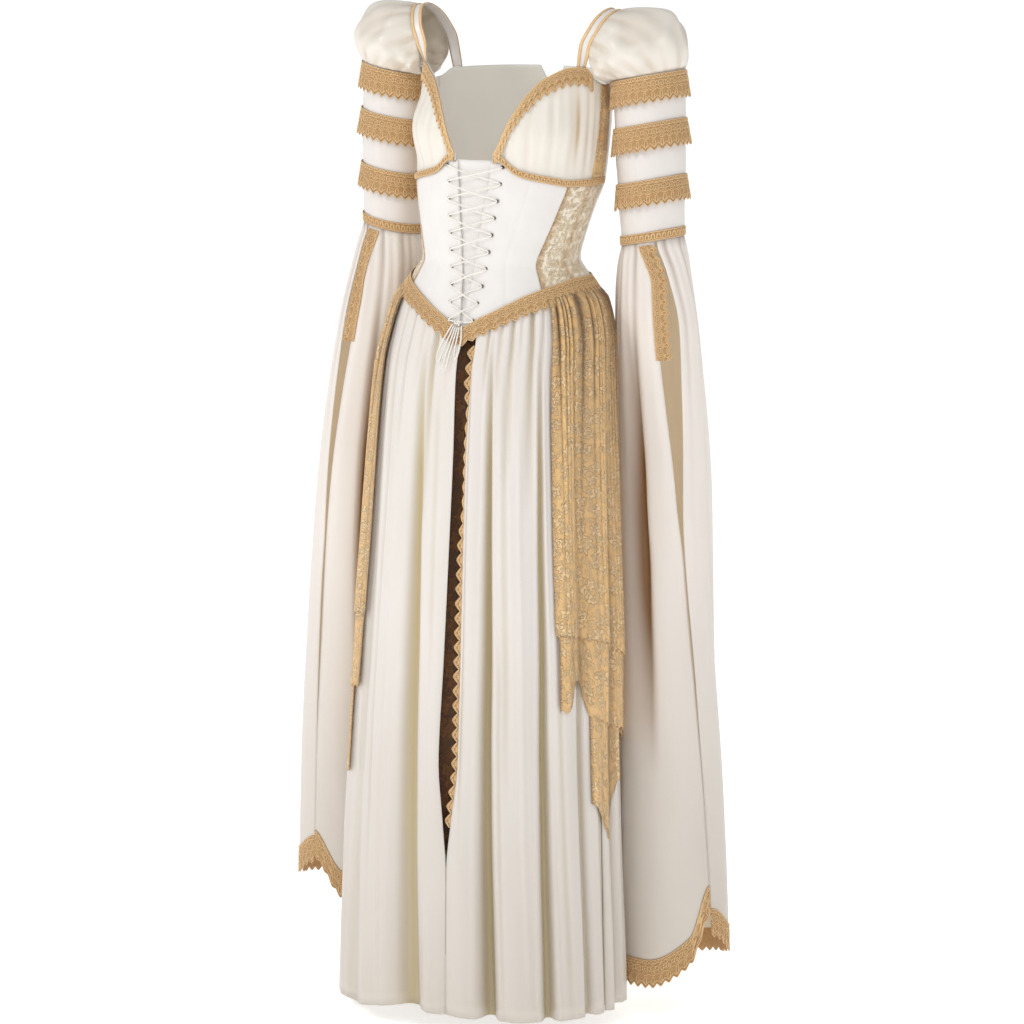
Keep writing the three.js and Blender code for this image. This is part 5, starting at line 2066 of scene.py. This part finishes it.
    def strap(self) -> None:
        """Makes the narrow strap over the shoulder with its gold edges."""
        width, columns, corded = 15.0, 9, (0, 1, 7, 8)
        inward = np.array([-self.side, 0.0, 0.12]) / math.hypot(1, 0.12)
        over = self.hole_point(np.linspace(92, -92, 60)) + inward * 0.6
        across = np.linspace(0, 1, columns)
        rows = over[:, None] + across[None, :, None] * width * inward

        def end(angle: float, span: float) -> Array:
            """Returns the points across one end of the strap, on the bodice's edge."""
            at = angle + span * across
            return Body.point(self.side * at, Body.neckline(angle) + 0.5 + 0 * at, -0.2)

        rows = np.concatenate([[end(69.0, -6.5)], rows, [end(113.0, 6.5)]])
        at = running(gaps(rows).mean(axis=1))
        even = np.linspace(0, at[-1], 70)
        lines = [[np.interp(even, at, rows[:, j, k]) for k in range(3)] for j in range(columns)]
        points = np.transpose(np.array(lines), (2, 0, 1))
        under = np.array([self.side * 150.0, 38.0, 280.0])
        normals = unit(np.cross(np.gradient(points, axis=0), np.gradient(points, axis=1)))
        normals = outward(normals, points, under)
        edges = np.stack([points[:, j] + normals[:, j] * 0.4 for j in corded])
        looks = np.stack([normals[:, j] for j in corded])
        shop, own = self.shop, "shoulder_strap_" + self.name
        cords = shop.strands(own + "_edges", edges, looks, 1.6, 0.8, shop.wardrobe.gold, Slot.GOLD_LACE)
        shop.cloth(
            own,
            points,
            shop.wardrobe.sleeve_satin,
            Slot.SATIN,
            core=lambda z: np.broadcast_to(under, (*z.shape, 3)),
            rests_on=["bodice_back_" + self.name],
            with_pieces=[cords],
        )

    def make(self) -> None:
        """Makes the whole sleeve."""
        self.puff()
        self.upper()
        self.bell()
        self.strap()


SLEEVE_SIZES = {
    "left": (
        (
            (300, 206, 46, 52, 49), (200, 209, 44, 52, 49), (28, 216, 42, 45, 43),
            (-6, 216, 44, 50, 47), (-115, 217, 58, 61, 57), (-345, 223, 77, 67, 62),
            (-550, 227, 79, 70, 66), (-790, 234, 78, 77, 72), (-1060, 243, 74, 82, 75),
        ),
        (
            (30, 30, 1.4), (-20, 37, 10), (-85, 41, 16), (-200, 41, 12),
            (-330, 41, 5), (-450, 47, 0.6), (-620, 57, 0.5), (-950, 66, 0.8),
        ),
        Curve((0, -950), (0.12, -985), (0.5, -1020), (0.8, -1026), (0.93, -990), (1, -915)),
    ),
    "right": (
        (
            (300, 202, 46, 50, 48), (200, 205, 44, 50, 48), (28, 207, 42, 45, 43),
            (-6, 212, 41, 50, 47), (-115, 231, 35, 59, 56), (-345, 261, 32, 67, 63),
            (-550, 276, 34, 70, 66), (-790, 283, 36, 76, 72), (-1060, 288, 38, 80, 75),
        ),
        (
            (30, 32, 1.4), (-20, 27, 8), (-85, 22, 12), (-200, 20, 9),
            (-330, 18, 4), (-450, 16, 0.6), (-620, 16, 0.5), (-950, 16, 0.8),
        ),
        Curve((0, -900), (0.1, -925), (0.3, -945), (0.6, -965), (0.9, -950), (1, -890)),
    ),
}  # fmt: skip


# The lacing


@dataclass
class Lacing:
    """Two crossing cords through ten pairs of eyelets, their knot, loops and free ends."""

    shop: Workshop
    bodice: Bodice
    pairs: int = 10
    top_z: float = 136.0
    step_z: float = 23.9
    diameter: float = 2.4
    top_half: float = 44.5
    end_half: float = 19.0
    low: float = 2.4
    over: float = 3.6
    end_left: tuple[float, float, float] = (6.2, -81.5, 4.0)
    end_right: tuple[float, float, float] = (-8.3, -80.6, 4.0)
    knot_at: tuple[float, float, float] = (-1.0, -82.2, 4.7)
    knot_half: tuple[float, float, float] = (6.5, 3.6, 4.6)
    hook_heights: tuple[float, ...] = (216, 196, 176, 120, 64, 8)
    hanging: dict[str, tuple[tuple[float, float, float], ...]] = field(
        default_factory=lambda: {
            "bow_loop_left": (
                (4.2, -85.4, 4.8), (7, -104, 5.6), (5.5, -126, 5.4), (2.5, -132, 5.4),
                (0.2, -124, 5.4), (0.6, -104, 5.6), (1.5, -87.3, 4.8),
            ),
            "tie_end_left": ((-1.4, -87.8, 4.8), (-4.5, -108, 5.6), (-8, -130, 5.4), (-10.5, -150, 5.6)),
            "tie_end_right": ((-4.3, -87, 4.8), (-8.5, -106, 5.6), (-13, -128, 5.4), (-17, -148, 5.6)),
            "bow_loop_right": (
                (-7, -85.6, 4.8), (-13, -104, 5.6), (-20, -128, 5.4), (-23.5, -137, 5.4),
                (-27, -130, 5.4), (-22, -110, 5.6), (-9.6, -84, 4.8),
            ),
        }
    )  # fmt: skip

    def eyelet_at(self, pair: int, side: int, out: float) -> Array:
        """Finds an eyelet.

        Args:
            pair: its pair, 0 at the top.
            side: 1 on the wearer's left, -1 on the right.
            out: distance off the body's outline.

        Returns:
            Its middle.
        """
        z = self.top_z - pair * self.step_z
        half = mix(self.top_half, self.end_half, pair / (self.pairs - 1))
        return Body.across(side * half, z, out)

    def route(self, side: int, lift: float) -> Array:
        """Lists the points that one lacing cord passes.

        Args:
            side: the side of its first eyelet.
            lift: how high it passes over the other cord in the middle.

        Returns:
            The points.
        """
        points = []
        for pair in range(self.pairs):
            here = side * (-1 if pair % 2 else 1)
            start = self.eyelet_at(pair, here, self.low)
            points.append(start)
            if pair == self.pairs - 1:
                points.append(Body.across(*(self.end_left if here > 0 else self.end_right)))
                break
            middle = (start[2] + self.eyelet_at(pair + 1, -here, self.low)[2]) / 2
            slope = self.step_z / 4 * 0.7
            aside = float(self.bodice.placket_angle(middle)) * 0.5 + 2
            points.append(Body.point(here * aside, middle + slope, self.low + lift * 0.8))
            points.append(Body.point(0.0, middle, self.low + lift))
            points.append(Body.point(-here * aside, middle - slope, self.low + lift * 0.8))
        return np.array(points)

    def lay(
        self, name: str, points: Array, far_end: FarEnd, lay: Lay, with_pieces: Sequence[Piece] = ()
    ) -> None:
        """Makes one cord and logs its length.

        Args:
            name: the solid's name.
            points: what it passes.
            far_end: not used.
            lay: not used.
            with_pieces: not used.
        """
        path = smooth_path(points, 8)
        cord = self.shop.tube(name, path, self.diameter / 2)
        length = float(gaps(path).sum()) * MM
        LOG.info("%s: cord %.3f m", name, length)

    def knot(self) -> Piece:
        """Makes the knot, one cord drawn over and under itself.

        Returns:
            The knot.
        """
        middle = Body.across(*self.knot_at)
        t = np.linspace(0, 2 * math.pi, 72)
        trefoil = stack(np.sin(t) + 2 * np.sin(2 * t), np.sin(3 * t), np.cos(t) - 2 * np.cos(2 * t))
        room = np.array(self.knot_half) - self.diameter / 2
        path = middle + trefoil / np.array([2.8, 1.0, 3.0]) * room
        return self.shop.tube("lacing_knot", path, self.diameter / 2)

    def eyelets(self) -> None:
        """Makes the twenty metal eyelets, each a rolled ring round a dark hole, which is a painted shadow:
        a dark metal ring.
        """
        rings, looks, hole_shadows = [], [], []
        turn = np.linspace(0, 2 * math.pi, 13)
        for pair in range(self.pairs):
            for side in (1, -1):
                middle = self.eyelet_at(pair, side, 0.35)
                out = self.eyelet_at(pair, side, 1.35) - middle
                across = unit(np.cross([0.0, 0.0, 1.0], out))
                up = np.cross(out, across)
                circle = np.cos(turn)[:, None] * across + np.sin(turn)[:, None] * up
                rings.append(middle + 2.5 * circle)
                hole_shadows.append(middle + 1.1 * circle)
                looks.append(np.broadcast_to(out, circle.shape))
        shop = self.shop
        pale, dark = shop.wardrobe.ring, shop.wardrobe.metal
        shop.strands("eyelet_rings", np.array(rings), np.array(looks), 0.75, 0.5, pale, Slot.CORSET)
        # A dark ring inside each eyelet: painted shadow in the hole.
        shop.strands("eyelet_hole_shadows", np.array(hole_shadows), np.array(looks), 1.3, 0.3, dark, Slot.CORSET)

    def hooks(self) -> None:
        """Makes the small hooks and bars inside the top of the centre-back closing."""
        lines, looks = [], []
        t = np.linspace(-1, 1, 9)
        for z in self.hook_heights:
            for angle in (177.4, 182.6):
                middle = Body.point(angle, z, -2.6)
                out = Body.point(angle, z, -3.6) - middle
                curve = stack(3.2 * t, 0 * t, 1.5 * (1 - t * t))
                lines.append(middle + curve)
                looks.append(np.broadcast_to(out, curve.shape))
        shop = self.shop
        metal = shop.wardrobe.metal
        shop.strands("back_hooks", np.array(lines), np.array(looks), 0.5, 0.5, metal, Slot.SATIN)

    def make(self) -> None:
        """Makes the lacing with its fittings."""
        knot = self.knot()
        self.lay("lacing_left", self.route(1, self.over), FarEnd.KNOT, Lay.TAUT, [knot])
        self.lay("lacing_right", self.route(-1, 0.0), FarEnd.KNOT, Lay.TAUT)
        for name, places in self.hanging.items():
            points = np.array([Body.across(*place) for place in places])
            far_end = FarEnd.OBJECT if name.startswith("bow") else FarEnd.BARE
            self.lay(name, points, far_end, Lay.HANGING)
        self.eyelets()
        self.hooks()


# The studio


@dataclass
class Studio:
    """The pale floor, the soft light and the camera at the photograph's angle."""

    wardrobe: Wardrobe
    azimuth: float = 28.0
    distance: float = 5.7
    height: float = 0.66
    pitch: float = 10.3
    aside: float = 0.010
    lens: float = 139.9
    floor_z: float = -1.112
    floor_half: float = 90.0
    lamp_off: float = 4.2
    world: float = 0.5
    key: float = 60.0
    fill: float = 50.0

    def camera(self) -> None:
        """Places the camera."""
        turn = self.azimuth * TURN
        data = bpy.data.cameras.new("camera")
        data.lens = self.lens
        data.sensor_width = 36.0
        data.clip_end = 200.0
        camera = bpy.data.objects.new("camera", data)
        camera.location = (
            self.distance * math.sin(turn) + self.aside * math.cos(turn),
            -self.distance * math.cos(turn) + self.aside * math.sin(turn),
            self.height,
        )
        camera.rotation_euler = ((90 - self.pitch) * TURN, 0.0, turn)
        bpy.context.scene.collection.objects.link(camera)
        bpy.context.scene.camera = camera

    def lamp(self, name: str, azimuth: float, height: float, size: float, watts: float) -> None:
        """Hangs one soft lamp that looks at the gown.

        Args:
            name: its name.
            azimuth: where it stands round the gown, in degrees.
            height: its height in metres.
            size: its width in metres.
            watts: its power.
        """
        data = bpy.data.lights.new(name, "AREA")
        data.size = size
        data.energy = watts
        lamp = bpy.data.objects.new(name, data)
        turn = azimuth * TURN
        lamp.location = (self.lamp_off * math.sin(turn), -self.lamp_off * math.cos(turn), height)
        down = math.atan2(height + 0.3, self.lamp_off)
        lamp.rotation_euler = (math.pi / 2 - down, 0.0, turn)
        bpy.context.scene.collection.objects.link(lamp)

    def floor(self) -> None:
        """Lays the floor."""
        half = self.floor_half
        mesh = bpy.data.meshes.new("floor")
        corners = [(-half, -half), (half, -half), (half, half), (-half, half)]
        mesh.from_pydata([(x, y, self.floor_z) for x, y in corners], [], [(0, 1, 2, 3)])
        mesh.uv_layers.new(name="cloth")
        mesh.materials.append(self.wardrobe.get(self.wardrobe.floor))
        floor = bpy.data.objects.new("floor", mesh)
        bpy.context.scene.collection.objects.link(floor)

    def make(self) -> None:
        """Sets up the studio."""
        scene = bpy.context.scene
        scene.view_settings.view_transform = "Standard"
        world = bpy.data.worlds.new("studio")
        world.use_nodes = True
        sky = world.node_tree.nodes["Background"]
        sky.inputs["Color"].default_value = (1.0, 1.0, 1.0, 1.0)
        sky.inputs["Strength"].default_value = self.world
        scene.world = world
        self.floor()
        self.lamp("key", -42.0, 2.6, 1.3, self.key)
        self.lamp("fill", 34.0, 3.2, 2.5, self.fill)


def main() -> None:
    """Builds the gown and its studio."""
    logging.basicConfig(level=logging.INFO, format="%(name)s: %(message)s")
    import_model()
    wardrobe = Wardrobe()
    workshop = Workshop(wardrobe)
    studio = Studio(wardrobe)
    studio.camera()
    bodice = Bodice(workshop)
    skirt = Skirt(workshop)
    pairs = SIDES.items()
    steps = (
        ("lacing", Lacing(workshop, bodice)),
        ("bodice", bodice),
        ("skirt", skirt),
        ("overskirt", Overskirt(workshop, skirt)),
        *((name + " sleeve", Sleeve(workshop, name, side, *SLEEVE_SIZES[name])) for name, side in pairs),
        ("studio", studio),
    )
    for name, maker in steps:
        maker.make()
        LOG.info("%s made", name)


if __name__ == "__main__":
    main()
